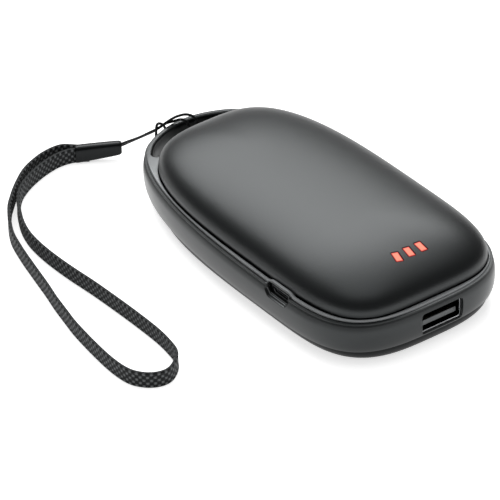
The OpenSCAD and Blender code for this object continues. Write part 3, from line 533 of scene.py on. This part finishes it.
def slot_cutter():
    """The slot with rounded edges: how far it stands out, and the height."""
    levels = [(0.42, 2.0), (0.42, 3.68), (0.22, 3.78), (0.06, 3.98), (0, 4.2), (0, 8.5), (0, 12.6), (0, 13.0),
              (0.05, 13.28), (0.16, 13.5), (0.34, 13.64), (0.56, 13.71), (0.56, 16.0)]
    return mesh_object("slot_cut", *loft([at_z(offset(slot_xy, d), z) for d, z in levels]), unit=1)


def rim_cutter():
    """The rim between the slot and the cover lies low along the middle of the slot."""
    a = np.linspace(math.radians(20), math.radians(160), 300)
    p = cover_xy(a, -GAP - RIM - 0.5)
    p = p[np.abs(p[:, 0]) < SLOT_HALF - RIM_LOW_IN]
    p = np.vstack([p, [(p[-1][0], 30.0), (p[0][0], 30.0)]])
    return mesh_object("rim_cut", *loft([at_z(p, 12.95), at_z(p, 16.0)]), unit=1)


def micro_outline():
    w, h = MICRO_W / 2, MICRO_H / 2
    pts = [(-w + 1.25, -h), (w - 1.25, -h), (w, -h + 1.35), (w, h - 0.5), (w - 0.5, h), (-w + 0.5, h), (-w, h - 0.5),
           (-w, -h + 1.35)]
    return rounded(pts, [0.5, 0.5, 0.4, 0.3, 0.3, 0.3, 0.3, 0.4], 4)


def micro_cutter():
    p, at = micro_outline(), (MICRO_Y, MICRO_Z)
    levels = [(0.62, -32.0), (0.5, -29.85), (0.3, -29.5), (0.1, -29.25), (0.0, -29.0), (0.0, -24.0)]
    return mesh_object("micro_cut", *loft([facing_x(offset(p, d), at, x) for d, x in levels]), unit=1)


def usb_cutter():
    p, at = box_outline(USB_W, USB_H, 0.75), (USB_X, USB_Z)
    levels = [(1.25, -60.0), (1.1, -57.93), (0.85, -57.72), (0.55, -57.58), (0.32, -57.5), (0.14, -57.38), (0.0, -57.1),
              (0.0, -44.0)]
    return mesh_object("usb_cut", *loft([facing_y(offset(p, d), at, y) for d, y in levels]), unit=1)


def button_cutter():
    p, at = box_outline(BUTTON_W, BUTTON_H, BUTTON_H / 2 - 0.02, 14), (BUTTON_Y, BUTTON_Z)
    levels = [(0.0, 26.0), (0.0, 29.5), (0.08, 29.62), (0.75, 29.66), (1.05, 29.78), (1.25, 30.0), (1.4, 30.6),
              (1.4, 32.0)]
    return mesh_object("button_cut", *loft([facing_x(offset(p, d), at, x) for d, x in levels]), unit=1)


def bump(y):
    """Rise of the lip over the charging port."""
    t = np.clip((BUMP_HALF - np.abs(y - MICRO_Y + BUMP_SHIFT)) / BUMP_SLOPE, 0, 1)
    return BUMP_RISE * t * t * (3 - 2 * t)


def add_lip():
    # Angles on the cover's outline that face the frame's points, kept apart where several points share one
    grid = np.linspace(0, 2 * np.pi, 7201)
    dense = cover_xy(grid, -GAP)
    pts = frame_xy(frame_a, 1.0)
    d2 = ((pts[:, None, :] - dense[None, :, :]) ** 2).sum(-1)
    near = np.unwrap(grid[np.argmin(d2, axis=1)])
    near = np.maximum.accumulate(near - near[0]) + near[0]
    facing_a = 0.5 * near + 0.5 * frame_a

    def lifted(p, z, lift):
        up = lift * bump(p[:, 1]) * (p[:, 0] < 0) * (np.abs(p[:, 1] - MICRO_Y) < 8)
        return at_z(p, z + up)

    def rim(inset, z, lift):
        return lifted(frame_xy(frame_a, inset) * (LIP_SQUEEZE, 1), z, lift)

    def inner(out, z, lift):
        p = cover_xy(facing_a, -out)
        front = port_end(p[:, 1])
        return lifted(p * (1 - front) + cover_xy(facing_a, -out - 0.08) * front, z, lift)

    rings = [
        rim(1.15, 12.5, 0), rim(0.8, 12.9, 0.0), rim(0.72, 12.96, 0.3), rim(0.64, 13.0, 0.8), rim(0.58, 13.06, 1),
        rim(0.56, 13.2, 1), rim(0.56, 13.4, 1), rim(0.57, 13.6, 1), rim(0.6, 13.71, 1), rim(0.66, 13.78, 1),
        rim(0.74, 13.8, 1), inner(0.8, 13.8, 1), inner(0.7, 13.78, 1), inner(0.63, 13.71, 1), inner(0.6, 13.6, 1),
        inner(0.6, 13.25, 0.7), inner(0.6, 12.9, 0), inner(0.6, 11.9, 0), inner(0.95, 11.7, 0), inner(1.0, 12.5, 0),
    ]
    o = mesh_object("lip", *loft(rings, loop=True), unit=1)
    a, b, low = slot_cutter(), micro_cutter(), rim_cutter()
    cut(o, a, b, low)
    drop(a, b, low)
    return seal(o)


def add_wall():
    def ring(inset, z):
        return at_z(frame_xy(frame_a, inset), z)

    # Share of the way from the seam to the parting line, and share of the bulge
    shares = [(0, -1.1), (0.055, -0.45), (0.2, 0.4), (0.38, 0.88), (0.565, 1), (0.75, 0.75), (0.9, 0.15), (1, -0.25)]
    zs = [SEAM_Z + t * (PARTING_Z - SEAM_Z) for t, _ in shares]
    outs = [-v * BULGE for _, v in shares]
    fine = np.linspace(SEAM_Z + 0.25, 12.1, 26)
    prof = smooth([(z, i, 0) for z, i in zip(zs, outs)], 10)
    ins = np.interp(fine, prof[:, 0], prof[:, 1])
    rings = [ring(1.7, SEAM_Z), ring(1.1, SEAM_Z), ring(0.86, SEAM_Z + 0.03), ring(0.7, SEAM_Z + 0.12)]
    rings += [ring(i, z) for i, z in zip(ins, fine)]
    rings += [ring(0.13, 12.35), ring(0.15, 12.5), ring(0.1, 12.62), ring(0.07, 12.72), ring(0.08, 12.82),
              ring(0.13, 12.9), ring(0.22, 12.94), ring(0.35, 12.95), ring(0.7, 12.95), ring(1.2, 12.93)]
    rings += [ring(1.25, 11.5), ring(1.45, 5.2), ring(1.7, 4.4)]
    o = mesh_object("wall", *loft(rings, loop=True), unit=1)
    # The wall round the slot is solid across, so it is built on and then cut
    tools = [slot_cutter(), micro_cutter(), usb_cutter(), button_cutter()]
    bar = add_bar_block()
    m = o.modifiers.new("join", "BOOLEAN")
    m.operation, m.solver, m.object = "UNION", "MANIFOLD", bar
    cut(o)
    cut(o, *tools)
    drop(*tools, bar)
    return seal(o)


def add_bar_block():
    """The solid end of the frame that the slot is cut through, inside the wall's outline."""
    a = np.linspace(math.radians(30), math.radians(150), 160)
    out = frame_xy(a, 0.9)
    inn = cover_xy(a, -0.75)
    keep_o = np.abs(out[:, 0]) < SLOT_HALF + 2.6
    keep_i = np.abs(inn[:, 0]) < SLOT_HALF + 2.2
    p = np.vstack([out[keep_o], inn[keep_i][::-1]])
    # Under the cover's skirt it reaches inward over the back cover's rim
    wide = np.vstack([out[keep_o], cover_xy(a, 1.1)[keep_i][::-1]])
    rings = [at_z(wide, 3.72), at_z(wide, 12.3), at_z(p, 12.45), at_z(p, 12.86)]
    return mesh_object("bar_block", *loft(rings), unit=1)


def add_back():
    def ring(inset, z):
        return at_z(back_xy(back_a, inset), z)

    rings = [ring(8.0, BACK_FLOOR), ring(2.0, 2.6), ring(1.4, 3.66), ring(0.2, 3.68), ring(0.05, 3.6)]
    for k in range(1, BACK_STEPS + 1):
        t = math.pi / 2 * k / BACK_STEPS
        rings.append(ring(BACK_EDGE * (1 - math.cos(t)), SEAM_Z * (1 - math.sin(t))))
    rings += [ring(6.0, 0.0), ring(12.0, 0.0), ring(20.0, 0.0), ring(25.5, 0.0)]
    return seal(mesh_object("back", *loft(rings), unit=1))


cover = add_top_cover()
light_bars = add_light_bars()
lip = add_lip()
wall = add_wall()
back = add_back()
for piece, node, slot_name in (
    (cover, "top_cover", "cover"), (light_bars, "indicator_bars", "light_guide"), (lip, "upper_frame", "lip"),
    (wall, "lower_frame", "wall"), (back, "bottom_cover", "back"),
):
    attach(piece, "case")
    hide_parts(node)


# Materials
SPECULAR_TINT = (0.93, 0.985, 1.0)


def material(name, base=(0.5, 0.5, 0.5), rough=0.5, metal=0.0, spec=0.5):
    """A material, its node tree and its shader. A base colour or roughness that nodes set later gives way to them."""
    m = bpy.data.materials.new(name)
    m.use_nodes = True
    b = m.node_tree.nodes["Principled BSDF"]
    b.inputs["Base Color"].default_value = (*base, 1)
    b.inputs["Roughness"].default_value = rough
    b.inputs["Metallic"].default_value = metal
    b.inputs["Specular IOR Level"].default_value = spec
    b.inputs["Specular Tint"].default_value = (*SPECULAR_TINT, 1)
    return m, m.node_tree, b


def node(tree, kind, inputs=None, **settings):
    """A new node. Each input is linked to a socket or set to a value."""
    n = tree.nodes.new(kind)
    for k, v in settings.items():
        setattr(n, k, v)
    for k, v in (inputs or {}).items():
        if hasattr(v, "is_linked"):
            tree.links.new(v, n.inputs[k])
        else:
            n.inputs[k].default_value = v
    return n


def place(tree):
    """Object coordinates, in metres."""
    return node(tree, "ShaderNodeTexCoord").outputs["Object"]


def color_ramp(tree, factor, *stops):
    """A ramp over a factor, with stops of a place and a colour."""
    ramp = node(tree, "ShaderNodeValToRGB", {"Fac": factor})
    ends = ramp.color_ramp.elements
    for stop, (at, color) in zip((ends[0], ends[1]), (stops[0], stops[-1])):
        stop.position, stop.color = at, (*color, 1)
    for at, color in stops[1:-1]:
        ends.new(at).color = (*color, 1)
    return ramp.outputs["Color"]


def mottled(tree, bsdf, base, spread, scale, rough, rough_spread, bump_scale, bump_height):
    """Fine grain in colour, roughness and height. A base or roughness of None is left to other nodes."""
    at = place(tree)
    if base or rough:
        big = node(tree, "ShaderNodeTexNoise", {"Vector": at, "Scale": scale, "Detail": 4.0, "Roughness": 0.6})
    if base:
        dark, light = ([min(1, c * (1 + k)) for c in base] for k in (-spread, spread))
        tree.links.new(color_ramp(tree, big.outputs["Fac"], (0.3, dark), (0.7, light)), bsdf.inputs["Base Color"])
    if rough:
        r = node(tree, "ShaderNodeMapRange", {"Value": big.outputs["Fac"], "From Min": 0.3, "From Max": 0.7,
                                            "To Min": rough - rough_spread, "To Max": rough + rough_spread})
        tree.links.new(r.outputs["Result"], bsdf.inputs["Roughness"])
    fine = node(tree, "ShaderNodeTexNoise", {"Vector": at, "Scale": bump_scale, "Detail": 3.0, "Roughness": 0.55})
    bm = node(tree, "ShaderNodeBump", {"Height": fine.outputs["Fac"], "Strength": 1.0, "Distance": bump_height})
    tree.links.new(bm.outputs["Normal"], bsdf.inputs["Normal"])


def paint(o, m):
    o.data.materials.clear()
    o.data.materials.append(m)


def note_faces(o, name, test):
    """Stores what a test gives each face, from 0 to 1, from its middle in millimetres and its normal."""
    me = o.data
    c, d = np.empty(len(me.polygons) * 3), np.empty(len(me.polygons) * 3)
    me.polygons.foreach_get("center", c)
    me.polygons.foreach_get("normal", d)
    attr = me.attributes.new(name, "FLOAT", "FACE")
    attr.data.foreach_set("value", test(c.reshape(-1, 3) / MM, d.reshape(-1, 3)).astype(float))


def tint(tree, bsdf, name, color):
    """Blends a colour, or the output of a node, over the base colour on the faces noted under a name."""
    under = bsdf.inputs["Base Color"].links[0].from_socket
    where = node(tree, "ShaderNodeAttribute", attribute_name=name)
    mix = node(tree, "ShaderNodeMix", data_type="RGBA")
    tree.links.new(where.outputs["Fac"], mix.inputs["Factor"])
    tree.links.new(under, mix.inputs[6])
    if hasattr(color, "is_linked"):
        tree.links.new(color, mix.inputs[7])
    else:
        mix.inputs[7].default_value = (*color, 1)
    tree.links.new(mix.outputs[2], bsdf.inputs["Base Color"])


def along(tree, axis, start, end):
    """From 0 to 1 between two places along an axis, in metres."""
    split = node(tree, "ShaderNodeSeparateXYZ", {"Vector": place(tree)})
    share = node(tree, "ShaderNodeMapRange", {"Value": split.outputs[axis], "From Min": start, "From Max": end})
    return share.outputs[0]


def rough_along(tree, bsdf, start, end, first, last):
    """A roughness that changes with the height, in metres."""
    level = node(tree, "ShaderNodeMapRange", {"Value": along(tree, "Z", start, end), "To Min": first, "To Max": last})
    tree.links.new(level.outputs[0], bsdf.inputs["Roughness"])


def ribs(tree):
    """Fine ribs across X, from 0 to 1."""
    return node(
        tree, "ShaderNodeTexWave", {"Vector": place(tree), "Scale": 400.0}, wave_type="BANDS", bands_direction="X"
    ).outputs["Fac"]


def graded(tree, bsdf, factor, first, last):
    """A base colour that changes with a factor, with fine grain on it."""
    grain = node(tree, "ShaderNodeTexNoise", {"Vector": place(tree), "Scale": 900.0, "Detail": 3.0})
    level = node(tree, "ShaderNodeMapRange", {"Value": grain.outputs["Fac"], "To Min": -0.08, "To Max": 0.08})
    total = node(tree, "ShaderNodeMath", {0: factor, 1: level.outputs[0]}, operation="ADD")
    tree.links.new(color_ramp(tree, total.outputs[0], (0, first), (1, last)), bsdf.inputs["Base Color"])


# Which faces each tint lies on. c is a face's middle and d its normal.
def lip_gap_shade(c, d):
    """The lip's inner side, down in the gap, painted near-black as shade."""
    inward = (c[:, :2] * d[:, :2]).sum(1) < 0.3 * np.hypot(c[:, 0], c[:, 1])
    return inward & (np.abs(d[:, 2]) < 0.96) & (c[:, 2] < 13.79)


def bump_face(c, d):
    """The bump's upright face over the charging port, painted dark and kept out of the lip's painted highlight."""
    at_bump = (np.abs(c[:, 1] - MICRO_Y + BUMP_SHIFT) < 5.2) & (c[:, 0] < 0)
    return at_bump & (d[:, 2] < 0.25) & (c[:, 2] < 14.45)


def micro_near(c):
    return (np.abs(c[:, 1] - MICRO_Y) < 5.0) & (np.abs(c[:, 2] - MICRO_Z) < 2.4) & (c[:, 0] < -20)


# The charging port's upward bevel, painted light as a highlight.
def micro_edge_highlight(c, d):
    return micro_near(c) & (c[:, 0] > -29.27) & (c[:, 0] <= -29.0) & (d[:, 0] > -0.93) & (d[:, 2] > 0.25)


def usb_near(c):
    return (np.abs(c[:, 0] - USB_X) < 7.9) & (c[:, 2] > 3.5) & (c[:, 2] < 11.9) & (c[:, 1] < -50)


# The output port's recess, painted near-black as shade.
def usb_painted_shade(c, d):
    return usb_near(c) & (np.abs(d[:, 1]) < 0.4) & (c[:, 1] > -57.2) & (c[:, 1] < -44)


def wall_ridge_highlight(c, d):
    """The wall's upper edge over the output port, painted light as a highlight, faded out toward both ends."""
    over_port = (c[:, 2] > 12.8) * (d[:, 2] > 0.5) * (c[:, 1] < -44)
    return over_port * np.clip((c[:, 0] + 14) / 14, 0, 1) * np.clip((27 - c[:, 0]) / 8, 0, 1)


m_cover, t, b = material("cover_satin", spec=0.5)
mottled(t, b, (0.0065, 0.0072, 0.0076), 0.06, 900, None, 0, 5200, 0.000012)
rough_along(t, b, 0.0152, 0.0143, 0.4, 0.6)

m_lip, t, b = material("lip_satin", spec=0.5)
mottled(t, b, None, 0, 700, 0.34, 0.02, 4200, 0.000006)
# The lip is painted light along its length as a highlight, fading to its dark colour over the bar at the back end.
graded(t, b, along(t, "Y", 0.036, 0.048), (0.22, 0.228, 0.233), (0.024, 0.025, 0.026))
# The lip's inner side in the gap is painted near-black as shade.
note_faces(lip, "gap", lip_gap_shade)
tint(t, b, "gap", (0.003, 0.003, 0.0035))
# The bump's upright face is painted dark, out of the lip's painted highlight.
note_faces(lip, "bump_face", bump_face)
tint(t, b, "bump_face", (0.012, 0.0125, 0.013))

# The ports' recesses are painted near-black as shade, the charging port's with fine light lines below; the openings'
# lower edges and the wall's upper edge over the output port carry painted highlights.
m_wall, t, b = material("wall_gloss", spec=0.5)
mottled(t, b, (0.0040, 0.0044, 0.0046), 0.08, 600, None, 0, 3600, 0.000006)
rough_along(t, b, 0.0100, 0.0118, 0.28, 0.5)
note_faces(wall, "recess", lambda c, d: micro_near(c) & (c[:, 0] > -29.1) & (d[:, 2] > 0.7))
note_faces(wall, "usb_painted_shade", usb_painted_shade)
note_faces(wall, "micro_painted_shade", lambda c, d: micro_near(c) & (d[:, 0] > -0.93) & (d[:, 2] <= 0.7))
note_faces(wall, "micro_edge_highlight", micro_edge_highlight)
# The output port's lower bevel is painted light as a highlight.
note_faces(wall, "usb_edge_highlight", lambda c, d: usb_near(c) & (c[:, 1] <= -56.0) & (d[:, 2] > 0.12) & (c[:, 2] < 6))
note_faces(wall, "ridge", wall_ridge_highlight)
# Painted shade in the recesses, with fine light lines on the charging port's recess floor.
tint(t, b, "recess", color_ramp(t, ribs(t), (0.7, (0.002, 0.002, 0.002)), (0.95, (0.26, 0.27, 0.275))))
tint(t, b, "micro_painted_shade", (0.004, 0.004, 0.004))
tint(t, b, "micro_edge_highlight", (0.13, 0.135, 0.138))
tint(t, b, "usb_painted_shade", (0.003, 0.003, 0.003))
tint(t, b, "usb_edge_highlight", (0.07, 0.072, 0.074))
# The wall's upper edge over the output port is painted light as a highlight.
tint(t, b, "ridge", (0.20, 0.207, 0.21))

m_back, t, b = material("back_satin", spec=0.22)
mottled(t, b, (0.0036, 0.0039, 0.0041), 0.06, 900, 0.4, 0.02, 5200, 0.00001)

m_light, t, b = material("light_bar", rough=0.6, spec=0.2)
edge = node(t, "ShaderNodeAttribute", attribute_name="edge").outputs["Fac"]
glow = color_ramp(t, edge, (0.0, (0.16, 0.004, 0.008)), (0.35, (0.75, 0.07, 0.06)), (0.95, (0.95, 0.30, 0.20)))
t.links.new(glow, b.inputs["Base Color"])
t.links.new(glow, b.inputs["Emission Color"])
b.inputs["Emission Strength"].default_value = 0.12


def braid(tree, bsdf, across, pitch, thread, light, dark, height):
    """Crossed threads, one way for each sign in thread, on the map of millimetres along and a place across. Their
    crests are painted light as highlights and their hollows dark as shade.
    """
    uv = node(tree, "ShaderNodeUVMap", uv_map="weave")
    split = node(tree, "ShaderNodeSeparateXYZ", {"Vector": uv.outputs[0]})
    u = node(tree, "ShaderNodeMath", {0: split.outputs["X"], 1: 2 * math.pi / pitch}, operation="MULTIPLY")
    v = node(tree, "ShaderNodeMath", {0: split.outputs["Y"], 1: 2 * math.pi / across}, operation="MULTIPLY")
    waves = []
    for sign in thread:
        turned = {0: v.outputs[0], 1: float(sign), 2: u.outputs[0]}
        turned = node(tree, "ShaderNodeMath", turned, operation="MULTIPLY_ADD")
        waves.append(node(tree, "ShaderNodeMath", {0: turned.outputs[0]}, operation="SINE"))
    top = waves[0]
    if len(waves) > 1:
        top = node(tree, "ShaderNodeMath", {0: waves[0].outputs[0], 1: waves[1].outputs[0]}, operation="ADD")
    fuzz = node(tree, "ShaderNodeTexNoise", {"Vector": place(tree), "Scale": 2600.0, "Detail": 3.0})
    total = {0: fuzz.outputs["Fac"], 1: 0.8, 2: top.outputs[0]}
    total = node(tree, "ShaderNodeMath", total, operation="MULTIPLY_ADD")
    level = node(tree, "ShaderNodeMapRange", {"Value": total.outputs[0], "From Min": 0.2, "From Max": 2.0})
    tree.links.new(color_ramp(tree, level.outputs[0], (0, dark), (1, light)), bsdf.inputs["Base Color"])
    lift = node(tree, "ShaderNodeBump", {"Height": level.outputs[0], "Strength": 1.0, "Distance": height})
    tree.links.new(lift.outputs["Normal"], bsdf.inputs["Normal"])


# The weave's crests carry painted highlights and its hollows painted shade.
m_strap, t, b = material("webbing", rough=0.75, spec=0.3)
braid(t, b, 1.84, 1.9, (1, -1), (0.16, 0.166, 0.17), (0.004, 0.0043, 0.0045), 0.0002)
m_cord, t, b = material("cord", rough=0.6, spec=0.3)
braid(t, b, 1.0, 1.1, (1,), (0.018, 0.019, 0.02), (0.003, 0.003, 0.0033), 0.00008)
m_sleeve, t, b = material("sleeve", spec=0.2)
mottled(t, b, (0.005, 0.0053, 0.0056), 0.06, 900, 0.30, 0.03, 3000, 0.000008)

# What stays as the solids made it: base colour, roughness, metal, and grains per metre
PLAIN = {
    "power_button": ((0.006, 0.0063, 0.0066), 0.38, 0, 2500), "switch_plunger": ((0.80, 0.80, 0.77), 0.45, 0, 3000),
    "switch_body": ((0.025, 0.025, 0.027), 0.4, 0, 3000), "main_board": ((0.012, 0.13, 0.05), 0.35, 0, 1800),
    "control_chip": ((0.02, 0.02, 0.021), 0.55, 0, 4000), "boost_inductor": ((0.08, 0.08, 0.085), 0.6, 0, 2500),
    "board_capacitors": ((0.42, 0.30, 0.17), 0.5, 0, 3000), "indicator_lamps": ((0.85, 0.83, 0.74), 0.4, 0, 3000),
    "usb_a_contacts": ((0.16, 0.14, 0.10), 0.4, 1, 3000), "micro_usb_tongue": ((0.012, 0.012, 0.013), 0.5, 0, 3000),
    "cell_left": ((0.03, 0.12, 0.36), 0.32, 0, 600), "cell_right": ((0.03, 0.12, 0.36), 0.32, 0, 600),
    "cell_cradle": ((0.78, 0.78, 0.74), 0.5, 0, 1500), "cell_link_front": ((0.62, 0.61, 0.58), 0.34, 1, 1800),
    "cell_link_rear": ((0.62, 0.61, 0.58), 0.34, 1, 1800), "heater_top": ((0.48, 0.16, 0.03), 0.3, 0, 700),
    "heater_bottom": ((0.48, 0.16, 0.03), 0.3, 0, 700), "thermistor": ((0.02, 0.02, 0.02), 0.35, 0, 3000),
    "lead_positive": ((0.45, 0.012, 0.01), 0.45, 0, 3000), "lead_negative": ((0.012, 0.012, 0.012), 0.45, 0, 3000),
    "case_screws": ((0.50, 0.50, 0.51), 0.3, 1, 2500), "board_screws": ((0.50, 0.50, 0.51), 0.3, 1, 2500),
}
for name, (base, rough, metal, grain) in PLAIN.items():
    m, t, b = material(name + "_finish", metal=metal)
    mottled(t, b, base, 0.08, grain, rough, 0.04, grain * 3, 0.000006)
    paint(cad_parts[name], m)

# The output socket's front edges keep a light colour, and what lies behind them is painted dark as shade
for name, front, depth, edge, metal in (
    ("usb_a_shell", -0.0563, 0.0003, (0.50, 0.51, 0.52), 1),
    ("usb_a_tongue", -0.0553, 0.0003, (0.15, 0.155, 0.158), 0),
):
    m, t, b = material(name + "_finish", metal=metal, rough=0.38)
    graded(t, b, along(t, "Y", front + depth * 0.4, front + depth), edge, (0.006, 0.006, 0.0065))
    paint(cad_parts[name], m)

# The charging socket's shell is painted near-black as shade, with fine light lines where it faces up
m, t, b = material("micro_usb_shell_finish", rough=0.4)
faces = node(t, "ShaderNodeNewGeometry")
turned = node(t, "ShaderNodeSeparateXYZ", {"Vector": faces.outputs["Normal"]})
facing_up = node(t, "ShaderNodeMath", {0: turned.outputs["Z"], 1: 0.5}, operation="GREATER_THAN")
lines = node(t, "ShaderNodeMath", {0: ribs(t), 1: facing_up.outputs[0]}, operation="MULTIPLY")
sharp = node(t, "ShaderNodeMapRange", {"Value": lines.outputs[0], "From Min": 0.7, "From Max": 0.95})
graded(t, b, sharp.outputs[0], (0.002, 0.002, 0.002), (0.22, 0.225, 0.23))
paint(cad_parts["micro_usb_shell"], m)

for piece, m in (
    (cover, m_cover), (lip, m_lip), (wall, m_wall), (back, m_back), (light_bars, m_light), (strap, m_strap),
    (tether, m_cord), (sleeve, m_sleeve),
):
    paint(piece, m)


# Floor, lamps and world. The floor and the world look white, and light the object less than that.
FLOOR_HALF, FLOOR_Z, FLOOR_COLOR = 0.5, -0.00002, 0.86
FLOOR_GLOW = 0.62
WORLD_SEEN, WORLD_GLOSS, WORLD_LIGHT = 1.0, 0.1, 0.5
WHITE = (1, 1, 1, 1)


def either(tree, *rays):
    """1 for a ray of any of these kinds."""
    path = node(tree, "ShaderNodeLightPath")
    total = path.outputs[rays[0]]
    for ray in rays[1:]:
        total = node(tree, "ShaderNodeMath", {0: total, 1: path.outputs[ray]}, operation="MAXIMUM").outputs[0]
    return total


def mixed(tree, factor, first, last):
    mix = node(tree, "ShaderNodeMixShader", {0: factor})
    tree.links.new(first.outputs[0], mix.inputs[1])
    tree.links.new(last.outputs[0], mix.inputs[2])
    return mix


def add_floor():
    me = bpy.data.meshes.new("floor")
    corners = [(x * FLOOR_HALF, y * FLOOR_HALF, FLOOR_Z) for x, y in ((-1, -1), (1, -1), (1, 1), (-1, 1))]
    me.from_pydata(corners, [], [(0, 1, 2, 3)])
    o = bpy.data.objects.new("floor", me)
    bpy.context.collection.objects.link(o)
    m = bpy.data.materials.new("floor")
    m.use_nodes = True
    t = m.node_tree
    t.nodes.clear()
    diffuse = node(t, "ShaderNodeBsdfDiffuse", {"Color": (FLOOR_COLOR, FLOOR_COLOR, FLOOR_COLOR, 1)})
    glow = node(t, "ShaderNodeEmission", {"Color": WHITE, "Strength": FLOOR_GLOW})
    lit = node(t, "ShaderNodeAddShader", {0: diffuse.outputs[0], 1: glow.outputs[0]})
    surface = mixed(t, either(t, "Is Camera Ray", "Is Glossy Ray", "Is Transmission Ray"), diffuse, lit)
    node(t, "ShaderNodeOutputMaterial", {"Surface": surface.outputs[0]})
    paint(o, m)


add_floor()


def add_area(name, at, aim, size, power, size_y=None):
    d = bpy.data.lights.new(name, "AREA")
    d.energy, d.size = power, size
    if size_y:
        d.shape, d.size_y = "RECTANGLE", size_y
    o = bpy.data.objects.new(name, d)
    bpy.context.collection.objects.link(o)
    o.location = at
    o.rotation_mode = "QUATERNION"
    o.rotation_quaternion = (Vector(aim) - Vector(at)).to_track_quat("-Z", "Y")


add_area("back_box", (0.46, 1.05, 1.0), (0, 0, 0.01), 1.55, 18.5, 0.55)
add_area("top_box", (0.1, 0.15, 1.0), (0, 0, 0.01), 0.9, 3.4)
world = bpy.data.worlds.new("studio")
bpy.context.scene.world = world
world.use_nodes = True
wt = world.node_tree
wt.nodes.clear()
seen, gloss, light = (
    node(wt, "ShaderNodeBackground", {"Color": WHITE, "Strength": k}) for k in (WORLD_SEEN, WORLD_GLOSS, WORLD_LIGHT)
)
unseen = mixed(wt, either(wt, "Is Glossy Ray"), light, gloss)
surface = mixed(wt, either(wt, "Is Camera Ray", "Is Transmission Ray"), unseen, seen)
node(wt, "ShaderNodeOutputWorld", {"Surface": surface.outputs[0]})
bpy.context.scene.view_settings.view_transform = "Standard"
